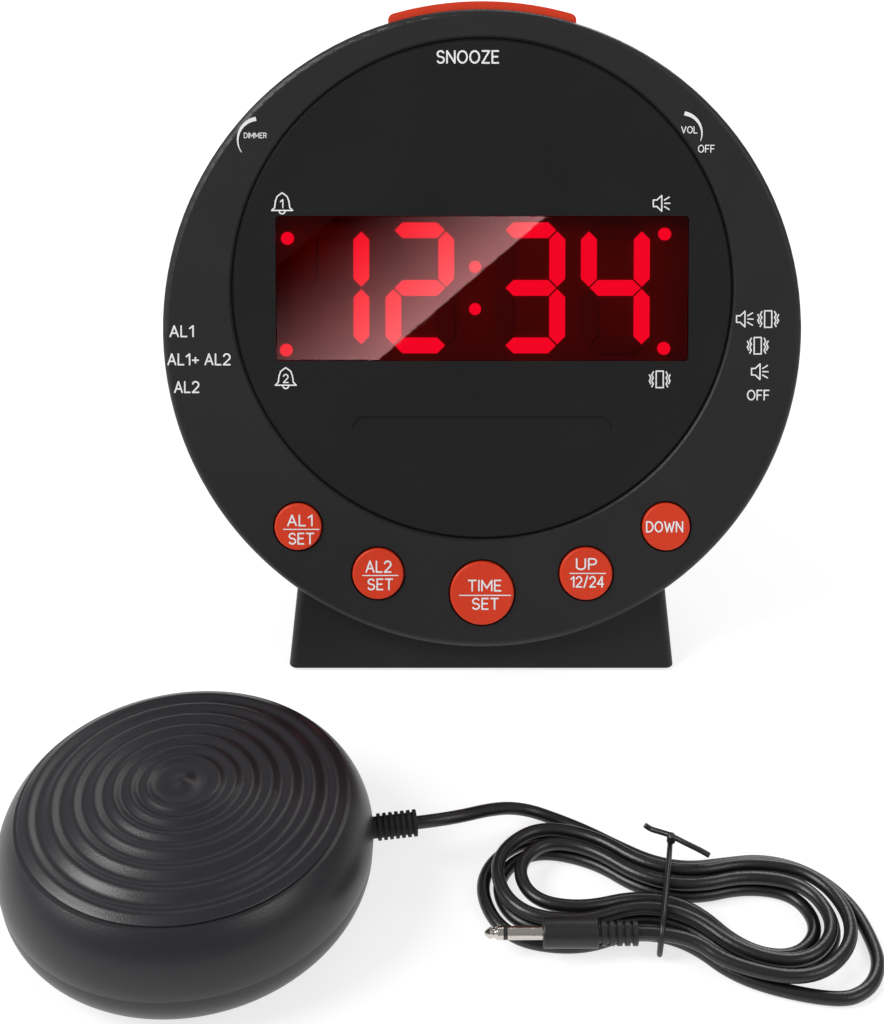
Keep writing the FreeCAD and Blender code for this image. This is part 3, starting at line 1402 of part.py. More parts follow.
def hank_place(along, across, height):
    """Place on the table from the frame of the hank."""
    turn = math.radians(HANK_TURN)
    x = HANK_X + along * math.cos(turn) - across * math.sin(turn)
    y = HANK_Y + along * math.sin(turn) + across * math.cos(turn)
    return Vector(x, y, height)


def hank_heading(along, rise=0.0):
    turn = math.radians(HANK_TURN)
    return Vector(along * math.cos(turn), along * math.sin(turn), rise).normalize()


def hank_rank(run):
    """Ranks go in from the outside on the table, then out again on the upper layer."""
    inner = HANK_RUNS // 2
    return run if run <= inner else HANK_RUNS - run


def hank_height(run):
    low = CORD_RADIUS + TIE_FLOOR_GAP
    return low if run <= HANK_RUNS // 2 else low + HANK_LAYER_RISE


def hank_offset(run, inner, step):
    return inner + (HANK_RUNS // 2 - hank_rank(run)) * step / 2


def hank_edges():
    """Wound figure with a narrow waist, as one chain of arcs and short straights."""
    edges = []
    for run, extra in zip(range(HANK_RUNS), HANK_EXTRA):
        side = -1 if run % 2 == 0 else 1
        flank = side * hank_offset(run, HANK_INNER_FLANK, HANK_PITCH)
        waist = side * hank_offset(run, HANK_INNER_WAIST, HANK_WAIST_STEP)
        low = hank_height(run)
        high = hank_height(run + 1) if run == HANK_RUNS // 2 else low
        ahead = hank_heading(side)
        climb = hank_heading(side, (high - low) / (2 * HANK_FLANK))
        start = hank_place(-side * HANK_FLANK, flank, low)
        middle = hank_place(0.0, waist, (low + high) / 2 + TIE_THICK * TIE_LIFT_SHARE)
        end = hank_place(side * HANK_FLANK, flank, high)
        edges += double_bend(start, ahead, middle, climb)
        edges += double_bend(middle, climb, end, ahead)
        reach = side * (HANK_FLANK + extra)
        back_flank = -side * hank_offset(run + 1, HANK_INNER_FLANK, HANK_PITCH)
        outer = hank_place(reach, flank, high)
        inner = hank_place(reach, back_flank, high)
        if extra:
            edges.append(line(end, outer))
        edges += double_bend(outer, ahead, inner, hank_heading(-side))
        if extra:
            edges.append(line(inner, hank_place(side * HANK_FLANK, back_flank, high)))
    return edges


def hank_start():
    return hank_place(HANK_FLANK, -hank_offset(0, HANK_INNER_FLANK, HANK_PITCH), hank_height(0))


def hank_end():
    flank = -hank_offset(HANK_RUNS, HANK_INNER_FLANK, HANK_PITCH)
    return hank_place(HANK_FLANK, flank, hank_height(HANK_RUNS))


def relief_end():
    """Place where the cord leaves the strain relief."""
    turn = math.radians(EXIT_ANGLE)
    reach = SHAKER_RADIUS + RELIEF_REACH
    return Vector(SHAKER_X + reach * math.cos(turn), SHAKER_Y + reach * math.sin(turn), EXIT_HEIGHT)


def lead_edges():
    """Cord from the strain relief round the loose loop to the start of the hank."""
    turn = math.radians(EXIT_ANGLE)
    start = relief_end()
    ahead = start + Vector(math.cos(turn), math.sin(turn), 0) * LEAD_START_RUN
    end = hank_start()
    last = end - hank_heading(-1) * LEAD_END_RUN
    return route([start, ahead] + [Vector(p) for p in LEAD_ROUTE] + [last, end])


def tail_edges():
    """Cord from the end of the hank to the boot of the plug."""
    start = hank_end()
    end = Vector(PLUG_BOOT_X, PLUG_Y, PLUG_HEIGHT)
    leave = start + hank_heading(-1) * TAIL_START_RUN
    meet = end + ALONG_X * TAIL_END_RUN
    return route([start, leave, meet, end])


def hank_frame(shape):
    """Move a piece from the frame of the hank to the table."""
    placed = shape.copy()
    placed.rotate(Vector(0, 0, 0), UP, HANK_TURN)
    placed.translate(Vector(HANK_X, HANK_Y, 0))
    return placed


def hank_tie():
    """Twist tie round the waist, with its knot and two free ends on top."""
    x = about(0.0, TIE_WIDTH / 2)
    low, high = TIE_FLOOR_GAP, TIE_TOP
    outer = block(x, (-TIE_FRONT, TIE_BACK), (low, high))
    outer = outer.makeFillet(TIE_CORNER, [e for e in outer.Edges if e.BoundBox.XLength > TIE_WIDTH / 2])
    inner = block(about(0.0, TIE_WIDTH), (-TIE_FRONT + TIE_THICK, TIE_BACK - TIE_THICK),
                  (low + TIE_THICK, high - TIE_THICK))
    corners = [e for e in inner.Edges if e.BoundBox.XLength > TIE_WIDTH]
    inner = inner.makeFillet(TIE_CORNER - TIE_THICK, corners)
    y = TIE_BACK - TIE_CORNER
    knot = post(TIE_KNOT_RADIUS, high - TIE_THICK / 2, high + TIE_KNOT_RISE, 0, y)
    pieces = [outer.cut(inner), knot]
    root = Vector(0, y, high + TIE_KNOT_RISE - TIE_TAIL_RADIUS)
    for length, along, across, rise in TIE_TAILS:
        pieces.append(Part.makeCylinder(TIE_TAIL_RADIUS, length, root, Vector(along, across, rise)))
    return hank_frame(joined(pieces))


# Plug, along X, its tip to the left

def plug_rod(radius, start, length):
    """Cylinder of the plug from a distance behind the end of the boot."""
    right = PLUG_BOOT_X - start
    return rod(radius, right - length, right, PLUG_Y, PLUG_HEIGHT)


def plug_body():
    pieces = [plug_rod(PLUG_BOOT_RADIUS - PLUG_RIB_DEPTH, 0.0, PLUG_BOOT_LENGTH)]
    pitch = PLUG_BOOT_LENGTH / PLUG_BOOT_RIBS
    for rib in range(PLUG_BOOT_RIBS):
        pieces.append(plug_rod(PLUG_BOOT_RADIUS, pitch * rib, pitch * PLUG_RIB_SHARE))
    barrel = plug_rod(PLUG_BARREL_RADIUS, PLUG_BOOT_LENGTH, PLUG_BARREL_LENGTH)
    pieces.append(barrel.makeFillet(PLUG_EDGE_ROUND, [e for e in barrel.Edges if e.BoundBox.XLength < SLIP]))
    return joined(pieces)


def plug_metal_start():
    return PLUG_BOOT_LENGTH + PLUG_BARREL_LENGTH


def plug_sleeve():
    start = plug_metal_start()
    outer = plug_rod(PLUG_SLEEVE_RADIUS, start, PLUG_SLEEVE_LENGTH)
    return outer.cut(plug_rod(PLUG_CORE_RADIUS + PLUG_CORE_GAP, start, PLUG_SLEEVE_LENGTH))


def plug_insulator():
    start = plug_metal_start() + PLUG_SLEEVE_LENGTH
    ring = plug_rod(PLUG_SLEEVE_RADIUS, start, PLUG_RING_LENGTH)
    return ring.cut(plug_rod(PLUG_CORE_RADIUS, start, PLUG_RING_LENGTH))


def plug_tip():
    """Pointed contact with a neck, on a core that runs back through the sleeve."""
    start = plug_metal_start() + PLUG_SLEEVE_LENGTH + PLUG_RING_LENGTH
    wide = PLUG_SLEEVE_RADIUS
    outline = [(0, 0), (wide, 0)]
    outline += [(wide * radius_share, PLUG_TIP_LENGTH * length_share)
                for length_share, radius_share in PLUG_TIP_SHARES]
    nose = spun([(-along, radius, 0) for radius, along in outline], ALONG_X)
    nose.translate(Vector(PLUG_BOOT_X - start, PLUG_Y, PLUG_HEIGHT))
    core = plug_rod(PLUG_CORE_RADIUS, plug_metal_start(), PLUG_SLEEVE_LENGTH + PLUG_RING_LENGTH)
    return joined([nose, core])


# Files

def save_clock():
    save_head("front_bezel", front_bezel())
    save_head("faceplate", faceplate())
    save_head("display_window", display_window())
    save_head("display_housing", display_housing())
    save_head("display_panel", display_panel())
    save_head("segments_lit", *segments(True), *colon())
    save_head("segments_dark", *segments(False))
    save_head("indicator_lights", *indicator_lights())
    save_head("main_board", main_board())
    save_head("board_screws", *board_screws())
    save_head("key_board", key_board())
    save_head("key_switches", *[key_switch(x, up) for name, x, up, radius in key_places()])
    for name, x, up, radius in key_places():
        save_head(name, key(x, up, radius))
    save_head("snooze_bar", snooze_bar())
    save_head("snooze_switch", snooze_switch())
    for name, angle in (("dimmer", DIMMER_ANGLE), ("volume", VOLUME_ANGLE)):
        save_head(name + "_wheel", thumbwheel(angle))
        save_head(name + "_pot", potentiometer(angle))
    save_head("alarm_slider", selector_cap(-1, 0.0))
    save_head("alarm_switch", selector_switch(-1))
    save_head("mode_slider", selector_cap(1, MODE_TRAVEL / 2))
    save_head("mode_switch", selector_switch(1))
    save_head("speaker_frame", speaker_frame())
    save_head("speaker_cone", speaker_cone())
    save_head("speaker_magnet", speaker_magnet())
    save_head("rear_cover", rear_cover())
    save_head("case_screws", *case_screws())
    save_head("battery_door", battery_door())
    save_head("backup_battery", backup_battery())
    save_head("battery_clip", battery_clip())
    save_head("dc_jack", socket(INLET_X, DC_BORE, DC_LENGTH, DC_PIN))
    save_head("shaker_jack", socket(-INLET_X, JACK_BORE, JACK_LENGTH, 0))


def save_stand():
    save("stand", [stand()])
    save("stand_base", [stand_base()])
    save("base_pad", [pad_outline(0.0, 0, PAD_THICK)])
    save("stand_screws", stand_screws())


def save_shaker():
    pieces = {
        "shaker_top": [shaker_top()],
        "shaker_base": [shaker_base()],
        "shaker_pad": [shaker_pad()],
        "shaker_screws": shaker_screws(),
        "motor_can": [motor_can()],
        "motor_shaft": [motor_shaft()],
        "motor_clamp": [motor_clamp()],
        "eccentric_weight": [eccentric_weight()],
        "strain_relief": [strain_relief()],
    }
    for name, shapes in pieces.items():
        save(name, [at_shaker(shape) for shape in shapes])


def places_along(edges):
    """Places on a chain of edges, at short steps."""
    found = []
    for edge in edges:
        first, span = edge.FirstParameter, edge.LastParameter - edge.FirstParameter
        count = int(edge.Length / GAP_STEP) + 1
        found += [edge.valueAt(first + span * step / count) for step in range(count)]
    return found


def least_gap(edges):
    """Clear distance of the wound cord to itself, beyond its nearest neighbourhood."""
    places = places_along(edges)
    skip = int(math.pi * HANK_INNER_FLANK / GAP_STEP / 2)
    nearest = min((place - other).Length
                  for i, place in enumerate(places) for other in places[i + skip:])
    return nearest - CORD_DIAMETER


def save_cord():
    """Lead, hank and tail, with their least radii and a check of each tube's volume."""
    cords = {"cord_lead": lead_edges(), "cord_hank": hank_edges(), "cord_tail": tail_edges()}
    for name, edges in cords.items():
        body = tube(edges)
        save(name, [body])
        radii = [edge.Curve.Radius for edge in edges if hasattr(edge.Curve, "Radius")]
        length = sum(edge.Length for edge in edges)
        section = math.pi * CORD_RADIUS ** 2
        print(name, "length", round(length, 1), "least radius", round(min(radii), 2),
              "volume share", round(body.Volume / (section * length), 4))
    print("hank least gap", round(least_gap(hank_edges()), 2))
    save("hank_tie", [hank_tie()])
    save("plug_body", [plug_body()])
    save("plug_sleeve", [plug_sleeve()])
    save("plug_insulator", [plug_insulator()])
    save("plug_tip", [plug_tip()])


os.makedirs(OUT_PARTS, exist_ok=True)
save_clock()
save_stand()
save_shaker()
save_cord()
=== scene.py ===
import math

import bmesh
import bpy
from mathutils import Matrix, Vector


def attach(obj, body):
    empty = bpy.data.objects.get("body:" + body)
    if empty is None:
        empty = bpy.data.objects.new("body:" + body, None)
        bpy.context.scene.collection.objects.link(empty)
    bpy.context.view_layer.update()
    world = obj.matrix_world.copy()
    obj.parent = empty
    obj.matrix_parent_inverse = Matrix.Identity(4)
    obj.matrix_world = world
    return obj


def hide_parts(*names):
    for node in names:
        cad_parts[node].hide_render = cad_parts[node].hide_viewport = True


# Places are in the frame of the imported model. Values times MM are in metres. The routes, the hank,
# the tie and the printed marks are in millimetres. The head has its own frame for the marks:
# across to the right, up the face, and depth into the case, zero at the middle of the face.
MM = 0.001
HEAD_LEAN = math.radians(22.0)
FACE_MIDDLE = Vector((0.0, -8.0, 78.04)) * MM
SHAKER_MIDDLE = Vector((-59.0, -102.1, 27.0)) * MM
LEVEL_REACH = 0.2 * MM

# Camera, matched to the photograph
FRAME_WIDTH = 884
FRAME_HEIGHT = 1024
SENSOR = 36.0
FOCAL_PIXELS = 1537.46
CAMERA_PLACE = Vector((-9.4, -331.57, 235.85)) * MM
CAMERA_PITCH = math.radians(24.0)
CAMERA_SHIFT = -0.2298
CLIP_START = 0.01

# Cord, its hank and the tie
CORD_DIAMETER = 2.6 * MM
LEAD_ROUTE = (
    (-14.60, -95.06, 11.0), (-7.69, -93.97, 11.0), (2.0, -86.9, 7.3), (8.2, -83.5, 3.7), (14.6, -84.4, 1.7),
    (20.6, -87.5, 1.4), (26.7, -92.1, 1.6), (32.9, -96.6, 2.1), (39.9, -98.4, 2.2), (47.6, -96.7, 1.7),
    (54.8, -95.4, 1.4), (61.7, -97.3, 1.4), (67.2, -101.7, 1.4), (70.8, -107.6, 1.4), (72.3, -114.4, 1.4),
    (72.6, -121.3, 1.4), (69.1, -127.1, 1.4), (62.7, -129.7, 1.4),
)
HANK_PLACE = (34.0, -107.5)
HANK_TURN = math.radians(-13.0)
HANK_RUNS = 8
HANK_FLANK = 20.5
HANK_PITCH = 3.6
HANK_WAIST_STEP = 3.6
HANK_INNER_FLANK = 7.1
HANK_INNER_WAIST = 0.75
HANK_LOW = 1.4
HANK_RISE = 3.1
HANK_WAIST_LIFT = 0.84
HANK_BEND_SHARE = 0.25
HANK_END_TURN = math.pi / 3
HANK_EXTRA = (1.6, 0.0, 2.0, 0.0, 0.0, 1.0, 1.0, 1.0)
CURVE_ORDER = 3
CORD_RING_STEPS = 6
CORD_LINE_STEPS = 10
TIE_RING_STEPS = 4
TIE_RADIUS = 0.55
TIE_LOOP = (
    (0.3, -12.4, 3.2), (0.2, -11.6, 0.7), (0.0, -4.0, 0.55), (0.0, 6.0, 0.55),
    (-0.2, 12.0, 0.8), (-0.3, 12.8, 3.4), (-0.3, 12.2, 6.4), (-0.2, 9.6, 7.6),
    (0.0, 4.0, 7.5), (0.2, -4.0, 7.4), (0.3, -9.4, 7.7), (0.4, -12.0, 6.2),
)
TIE_KNOT = (-0.1, 10.9, 8.0)
TIE_TWISTS = 2.5
TIE_TWIST_RADIUS = 0.4
TIE_TWIST_RISE = 1.3
TIE_TWIST_STEPS = 20
TIE_ENDS = (
    ((0.6, 10.6, 9.3), (3.0, 9.6, 9.2), (6.2, 8.9, 8.6), (7.6, 8.3, 8.4)),
    ((-0.9, 11.3, 9.2), (-3.0, 12.3, 8.6), (-4.6, 13.0, 8.2), (-5.6, 13.1, 8.9)),
)
TAIL_ROUTE = ((43.94, -124.45, 4.5), (36.3, -117.9, 5.8), (27.3, -117.9, 5.8))

# Finishes
WINDOW_TINT = (0.72, 0.10, 0.20)
WINDOW_GLOSS = (1.0, 0.6, 0.6)
WINDOW_GLOSS_SHARE = 0.008
LIT_COLOUR = (1.0, 0.003, 0.24)
LIT_STRENGTH = 1.7
LIT_BASE = (0.10, 0.005, 0.01)
LIT_ROUGHNESS = 0.6
LIT_SPECULAR = 0.05
WINDOW_ROUGHNESS = 0.015
WINDOW_WAVE_SCALE = 60.0
WINDOW_WAVE_DEPTH = 0.000002
GRAIN = (2500.0, 0.00003)
GRAIN_DETAIL = 2.0
SPREAD = 0.06
ROUGH_SPREAD = 0.05
DRIFT_SCALE = 40.0
DRIFT_DETAIL = 3.0
DRIFT_EDGES = (0.3, 0.7)
BEHIND_WINDOW = {"grain": None, "specular": 0.05}
STEEL_NODES = (
    "board_screws", "case_screws", "stand_screws", "shaker_screws", "motor_can", "motor_shaft",
    "motor_clamp", "dimmer_pot", "volume_pot", "speaker_frame", "speaker_magnet",
)
SWITCH_NODES = (
    "key_switches", "snooze_switch", "alarm_switch", "mode_switch", "dc_jack", "shaker_jack",
    "battery_clip",
)
# Name, colour, roughness, options and CAD nodes of each finish
FINISHES = (
    ("shell_plastic", (0.0105, 0.0098, 0.011), 0.46, {"grain": (1600.0, 0.00006), "specular": 0.35},
     ("front_bezel", "rear_cover", "battery_door")),
    ("stand_plastic", (0.0085, 0.0075, 0.009), 0.44, {"specular": 0.35}, ("stand", "stand_base")),
    ("knob_plastic", (0.014, 0.013, 0.014), 0.5, {},
     ("alarm_slider", "mode_slider", "dimmer_wheel", "volume_wheel")),
    ("faceplate_satin", (0.0070, 0.0066, 0.0072), 0.36, {"grain": (1800.0, 0.00004), "specular": 0.3},
     ("faceplate",)),
    ("panel_red", (0.16, 0.010, 0.003), 0.7, BEHIND_WINDOW, ("display_panel", "display_housing")),
    ("segment_dark", (0.13, 0.009, 0.003), 0.7, BEHIND_WINDOW, ("segments_dark",)),
    ("key_orange", (0.60, 0.036, 0.008), 0.44,
     {"grain": (1800.0, 0.00003), "spread": 0.05, "specular": 0.3},
     ("key_alarm_1", "key_alarm_2", "key_time", "key_up", "key_down", "snooze_bar")),
    ("shaker_plastic", (0.0125, 0.0108, 0.0135), 0.36, {"specular": 0.42}, ("shaker_top", "shaker_base")),
    ("rubber_black", (0.010, 0.010, 0.010), 0.6, {"grain": (1500.0, 0.00005), "specular": 0.3},
     ("base_pad", "shaker_pad", "strain_relief")),
    ("board_green", (0.02, 0.12, 0.05), 0.5, {}, ("main_board", "key_board")),
    ("switch_black", (0.02, 0.02, 0.02), 0.5, {}, SWITCH_NODES),
    ("steel", (0.55, 0.55, 0.56), 0.3, {"metallic": 1.0}, STEEL_NODES),
    ("brass", (0.6, 0.42, 0.16), 0.35, {"metallic": 1.0}, ("eccentric_weight",)),
    ("cone_paper", (0.03, 0.03, 0.03), 0.8, {"grain": (900.0, 0.0001)}, ("speaker_cone",)),
    ("battery_wrap", (0.10, 0.10, 0.13), 0.35, {"metallic": 0.4}, ("backup_battery",)),
    ("plug_rubber", (0.009, 0.009, 0.009), 0.4, {}, ("plug_body", "plug_insulator")),
    ("plug_nickel", (0.62, 0.58, 0.54), 0.18, {"metallic": 1.0}, ("plug_sleeve", "plug_tip")),
)
CORD_FINISH = (
    "cord_sheath", (0.006, 0.0056, 0.0062), 0.34, {"grain": (1200.0, 0.00004), "spread": 0.12},
)
TIE_FINISH = ("tie_plastic", (0.010, 0.010, 0.011), 0.35, {"grain": (1500.0, 0.00003)})
INK_COLOUR = (0.74, 0.74, 0.76)
INK_ROUGHNESS = 0.5

# Printed marks: places and sizes in millimetres on the face
PRINT_LIFT = 0.03
PRINT_LAYER = 0.001
PRINT_LAYERS = 24
ICON_LINE = 0.31
DIVIDER_LINE = 0.24
PRINT_HAIR = 0.15
LETTER_LINE_SHARE = 0.145
LETTER_GAP_SHARE = 0.24
JOINT_SHARE = 0.35
ARC_STEPS = 24
LETTER_ARC_STEPS = 14
KEY_PROUD = 0.8
BELL_SIZE = 4.9
ICON_SIZE = 3.8
SHAKE_SIZE = 4.4
BELLS = ((-46.7, 29.7), (-46.0, -11.2))
SPEAKER_ICONS = ((41.8, 29.7), (61.4, 2.65), (65.0, -9.7))
SHAKE_ICONS = ((41.6, -11.5), (66.9, 2.65), (64.5, -3.6))
WEDGE_ARCS = (
    ((-52.0, 44.4), 5.0, 214.0, 102.0, 0.95),
    ((46.4, 45.9), 4.75, -20.0, 78.0, 0.95),
)
FACE_WORDS = (
    ("SNOOZE", -3.4, 63.7, 2.75, 14.2),
    ("DIMMER", -52.9, 45.5, 1.15, 5.2),
    ("VOL", 48.2, 46.8, 1.5, 3.6),
    ("OFF", 52.2, 42.4, 1.6, 3.7),
    ("1", -46.8, 29.6, 1.9, 0.6),
    ("2", -46.0, -11.3, 1.9, 1.1),
    ("AL1", -70.3, -0.2, 2.5, 5.4),
    ("AL1+ AL2", -66.3, -6.8, 2.5, 14.5),
    ("AL2", -69.2, -13.3, 2.5, 5.6),
    ("OFF", 64.7, -15.2, 2.2, 5.0),
)
KEY_WORDS = {
    "key_alarm_1": (("AL1", -42.7, -44.6, 2.45, 5.7), ("SET", -42.4, -48.9, 2.45, 5.7)),
    "key_alarm_2": (("AL2", -24.3, -55.5, 2.55, 5.8), ("SET", -23.9, -59.7, 2.45, 5.7)),
    "key_time": (("TIME", 0.6, -60.0, 2.45, 7.6), ("SET", 0.8, -64.3, 2.5, 6.0)),
    "key_up": (("UP", 24.5, -54.9, 2.5, 4.6), ("12/24", 24.7, -59.1, 2.4, 7.6)),
    "key_down": (("DOWN", 42.8, -46.1, 2.35, 8.4),),
}
KEY_DIVIDERS = {
    "key_alarm_1": (-42.4, -46.7, 8.3),
    "key_alarm_2": (-23.9, -57.6, 8.3),
    "key_time": (0.7, -62.3, 12.0),
    "key_up": (24.8, -57.1, 8.4),
}

# Letters as strokes, in shares of their height, with the width of each
LETTER_SHARES = {
    "A": (0.66, (((0, 0), (0.33, 1), (0.66, 0)), ((0.11, 0.32), (0.55, 0.32)))),
    "D": (0.62, (((0.2, 0), (0, 0), (0, 1), (0.2, 1)), (0.2, 0.5, 0.42, 0.5, 90, -90))),
    "E": (0.48, (((0.48, 1), (0, 1), (0, 0), (0.48, 0)), ((0, 0.52), (0.42, 0.52)))),
    "F": (0.48, (((0.48, 1), (0, 1), (0, 0)), ((0, 0.5), (0.4, 0.5)))),
    "I": (0.0, (((0, 0), (0, 1)),)),
    "L": (0.46, (((0, 1), (0, 0), (0.46, 0)),)),
    "M": (0.78, (((0, 0), (0, 1), (0.39, 0.25), (0.78, 1), (0.78, 0)),)),
    "N": (0.62, (((0, 0), (0, 1), (0.62, 0), (0.62, 1)),)),
    "O": (0.74, ((0.37, 0.5, 0.37, 0.5, 0, 360),)),
    "P": (0.52, (((0.26, 0.46), (0, 0.46)), ((0, 0), (0, 1), (0.26, 1)), (0.26, 0.73, 0.26, 0.27, 90, -90))),
    "R": (0.54, (((0.26, 0.46), (0, 0.46)), ((0, 0), (0, 1), (0.26, 1)), (0.26, 0.73, 0.26, 0.27, 90, -90),
                 ((0.26, 0.46), (0.54, 0)))),
    "S": (0.54, ((0.27, 0.755, 0.25, 0.245, 25, 270), (0.27, 0.255, 0.27, 0.255, 90, -155))),
    "T": (0.6, (((0, 1), (0.6, 1)), ((0.3, 1), (0.3, 0)))),
    "U": (0.6, (((0, 1), (0, 0.3)), (0.3, 0.3, 0.3, 0.3, 180, 360), ((0.6, 0.3), (0.6, 1)))),
    "V": (0.66, (((0, 1), (0.33, 0), (0.66, 1)),)),
    "W": (0.94, (((0, 1), (0.24, 0), (0.47, 0.85), (0.7, 0), (0.94, 1)),)),
    "Z": (0.56, (((0, 1), (0.56, 1), (0, 0), (0.56, 0)),)),
    "1": (0.3, (((0, 0.76), (0.28, 1), (0.28, 0)),)),
    "2": (0.56, ((0.28, 0.71, 0.27, 0.29, 165, -35), ((0.5, 0.54), (0, 0), (0.56, 0)))),
    "4": (0.6, (((0.46, 0), (0.46, 1), (0, 0.28), (0.6, 0.28)),)),
    "/": (0.36, (((0, -0.06), (0.36, 1.06)),)),
    "+": (0.5, (((0, 0.42), (0.5, 0.42)), ((0.25, 0.17), (0.25, 0.67)))),
    " ": (0.12, ()),
}

# Room and lights
FLOOR_SIZE = 6.0
FLOOR_GLOW = 0.74
FLOOR_WHITE = 0.32
FLOOR_FINISH = {"grain": None, "spread": 0.003, "specular": 0.1}
FLOOR_ROUGHNESS = 0.8
WORLD_STRENGTH = 0.36
LIGHT_TARGET = (0.0, -0.05, 0.05)
# Name, place, size and power of each light
LIGHTS = (
    ("key", (-0.95, -0.35, 0.95), 0.7, 15.0),
    ("fill", (0.9, -0.6, 0.9), 0.7, 4.0),
    ("back", (0.25, 0.95, 0.75), 0.8, 9.0),
)
SHEEN_DISTANCE = 1.5
SHEEN_COLOUR = (0.88, 1.0, 1.0)
SHEEN_STRENGTH = 29.0
SHEEN_FADE_POWER = 2.0
SHEEN_SHARES = (1.0, 1.0, 0.0, 0.0)
SHEEN_PIXELS = ((378, 360), (551, 212), (341, 212), (168, 360))


def face_point(across, up, depth=0.0):
    """Place in the frame of the model from millimetres on the face of the head."""
    point = Vector((across, depth, up)) * MM
    return FACE_MIDDLE + Matrix.Rotation(-HEAD_LEAN, 3, "X") @ point


# Camera

def make_camera():
    data = bpy.data.cameras.new("camera")
    data.sensor_width = SENSOR
    data.sensor_fit = "AUTO"
    data.lens = FOCAL_PIXELS * SENSOR / FRAME_HEIGHT
    data.shift_y = CAMERA_SHIFT
    data.clip_start = CLIP_START
    camera = bpy.data.objects.new("camera", data)
    bpy.context.scene.collection.objects.link(camera)
    camera.location = CAMERA_PLACE
    camera.rotation_euler = (math.pi / 2 - CAMERA_PITCH, 0.0, 0.0)
    bpy.context.scene.camera = camera


# Cord

def hank_point(along, across, height):
    turn = Matrix.Rotation(HANK_TURN, 2)
    spot = turn @ Vector((along, across))
    return (HANK_PLACE[0] + spot.x, HANK_PLACE[1] + spot.y, height)


def hank_rank(run):
    inner = HANK_RUNS // 2
    return inner - (run if run <= inner else HANK_RUNS - run)


def hank_route():
    """Control points of the wound figure: four along each run, three round each end."""
    points = []
    for run, extra in zip(range(HANK_RUNS), HANK_EXTRA):
        side = -1 if run % 2 == 0 else 1
        flank = side * (HANK_INNER_FLANK + hank_rank(run) * HANK_PITCH / 2)
        waist = side * (HANK_INNER_WAIST + hank_rank(run) * HANK_WAIST_STEP / 2)
        after = -side * (HANK_INNER_FLANK + hank_rank(run + 1) * HANK_PITCH / 2)
        low = HANK_LOW if run <= HANK_RUNS // 2 else HANK_LOW + HANK_RISE
        high = HANK_LOW + HANK_RISE if run >= HANK_RUNS // 2 else low
        middle = (low + high) / 2 + HANK_WAIST_LIFT
        bend = HANK_FLANK * HANK_BEND_SHARE
        points.append(hank_point(-side * (HANK_FLANK - bend), flank, low))
        points.append(hank_point(-side * bend, waist, middle))
        points.append(hank_point(side * bend, waist, middle))
        points.append(hank_point(side * (HANK_FLANK - bend), flank, high))
        radius = abs(flank - after) / 2
        centre = (flank + after) / 2
        reach = HANK_FLANK + extra
        corner = radius / math.cos(HANK_END_TURN / 2)
        for angle in (-HANK_END_TURN, 0.0, HANK_END_TURN):
            along = reach + corner * math.cos(angle)
            across = centre + corner * math.sin(angle) * -side
            points.append(hank_point(side * along, across, high))
    return points


def cord_curve(name, route):
    """Round cord along a smooth line with the route as its control points.

    The bevel depth is one, so the radius of each point is the radius of the cord.
    """
    data = bpy.data.curves.new(name, "CURVE")
    data.dimensions = "3D"
    data.bevel_depth = 1.0
    data.bevel_resolution = CORD_RING_STEPS
    data.resolution_u = CORD_LINE_STEPS
    data.use_fill_caps = True
    spline = data.splines.new("NURBS")
    spline.points.add(len(route) - 1)
    for point, place in zip(spline.points, route):
        point.co = (*(Vector(place) * MM), 1.0)
        point.radius = CORD_DIAMETER / 2
    spline.order_u = CURVE_ORDER
    spline.use_endpoint_u = True
    curve = bpy.data.objects.new(name, data)
    bpy.context.scene.collection.objects.link(curve)
    return curve


def tie_spline(data, points, closed=False):
    """Smooth line in the frame of the hank."""
    spline = data.splines.new("NURBS")
    spline.points.add(len(points) - 1)
    for point, place in zip(spline.points, points):
        point.co = (*(Vector(hank_point(*place)) * MM), 1.0)
        point.radius = TIE_RADIUS * MM
    spline.order_u = CURVE_ORDER
    spline.use_cyclic_u = closed
    spline.use_endpoint_u = not closed


def twist(start):
    """One wire of the twisted knot, rising from the loop to the free ends."""
    points = []
    for step in range(TIE_TWIST_STEPS + 1):
        share = step / TIE_TWIST_STEPS
        turn = start + 2 * math.pi * TIE_TWISTS * share
        along = TIE_KNOT[0] + TIE_TWIST_RADIUS * math.cos(turn)
        across = TIE_KNOT[1] + TIE_TWIST_RADIUS * math.sin(turn)
        points.append((along, across, TIE_KNOT[2] + TIE_TWIST_RISE * share))
    return points


def make_tie():
    """Plastic-coated wire tie: a loop round the waist, a twisted knot and two free ends."""
    data = bpy.data.curves.new("twist_tie", "CURVE")
    data.dimensions = "3D"
    data.bevel_depth = 1.0
    data.bevel_resolution = TIE_RING_STEPS
    data.use_fill_caps = True
    tie_spline(data, TIE_LOOP, closed=True)
    for index, end in enumerate(TIE_ENDS):
        tie_spline(data, twist(math.pi * index) + list(end))
    tie = bpy.data.objects.new("twist_tie", data)
    bpy.context.scene.collection.objects.link(tie)
    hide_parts("hank_tie")
    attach(tie, "shaker")
    return tie


def make_cord():
    route = list(LEAD_ROUTE) + hank_route() + list(TAIL_ROUTE)
    cord = cord_curve("cord", route)
    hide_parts("cord_lead", "cord_hank", "cord_tail")
    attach(cord, "shaker")
    return cord


# Materials

def noise(tree, scale, detail):
    """Noise in the frame of the model."""
    coords = tree.nodes.new("ShaderNodeTexCoord")
    texture = tree.nodes.new("ShaderNodeTexNoise")
    texture.inputs["Scale"].default_value = scale
    texture.inputs["Detail"].default_value = detail
    tree.links.new(coords.outputs["Object"], texture.inputs["Vector"])
    return texture


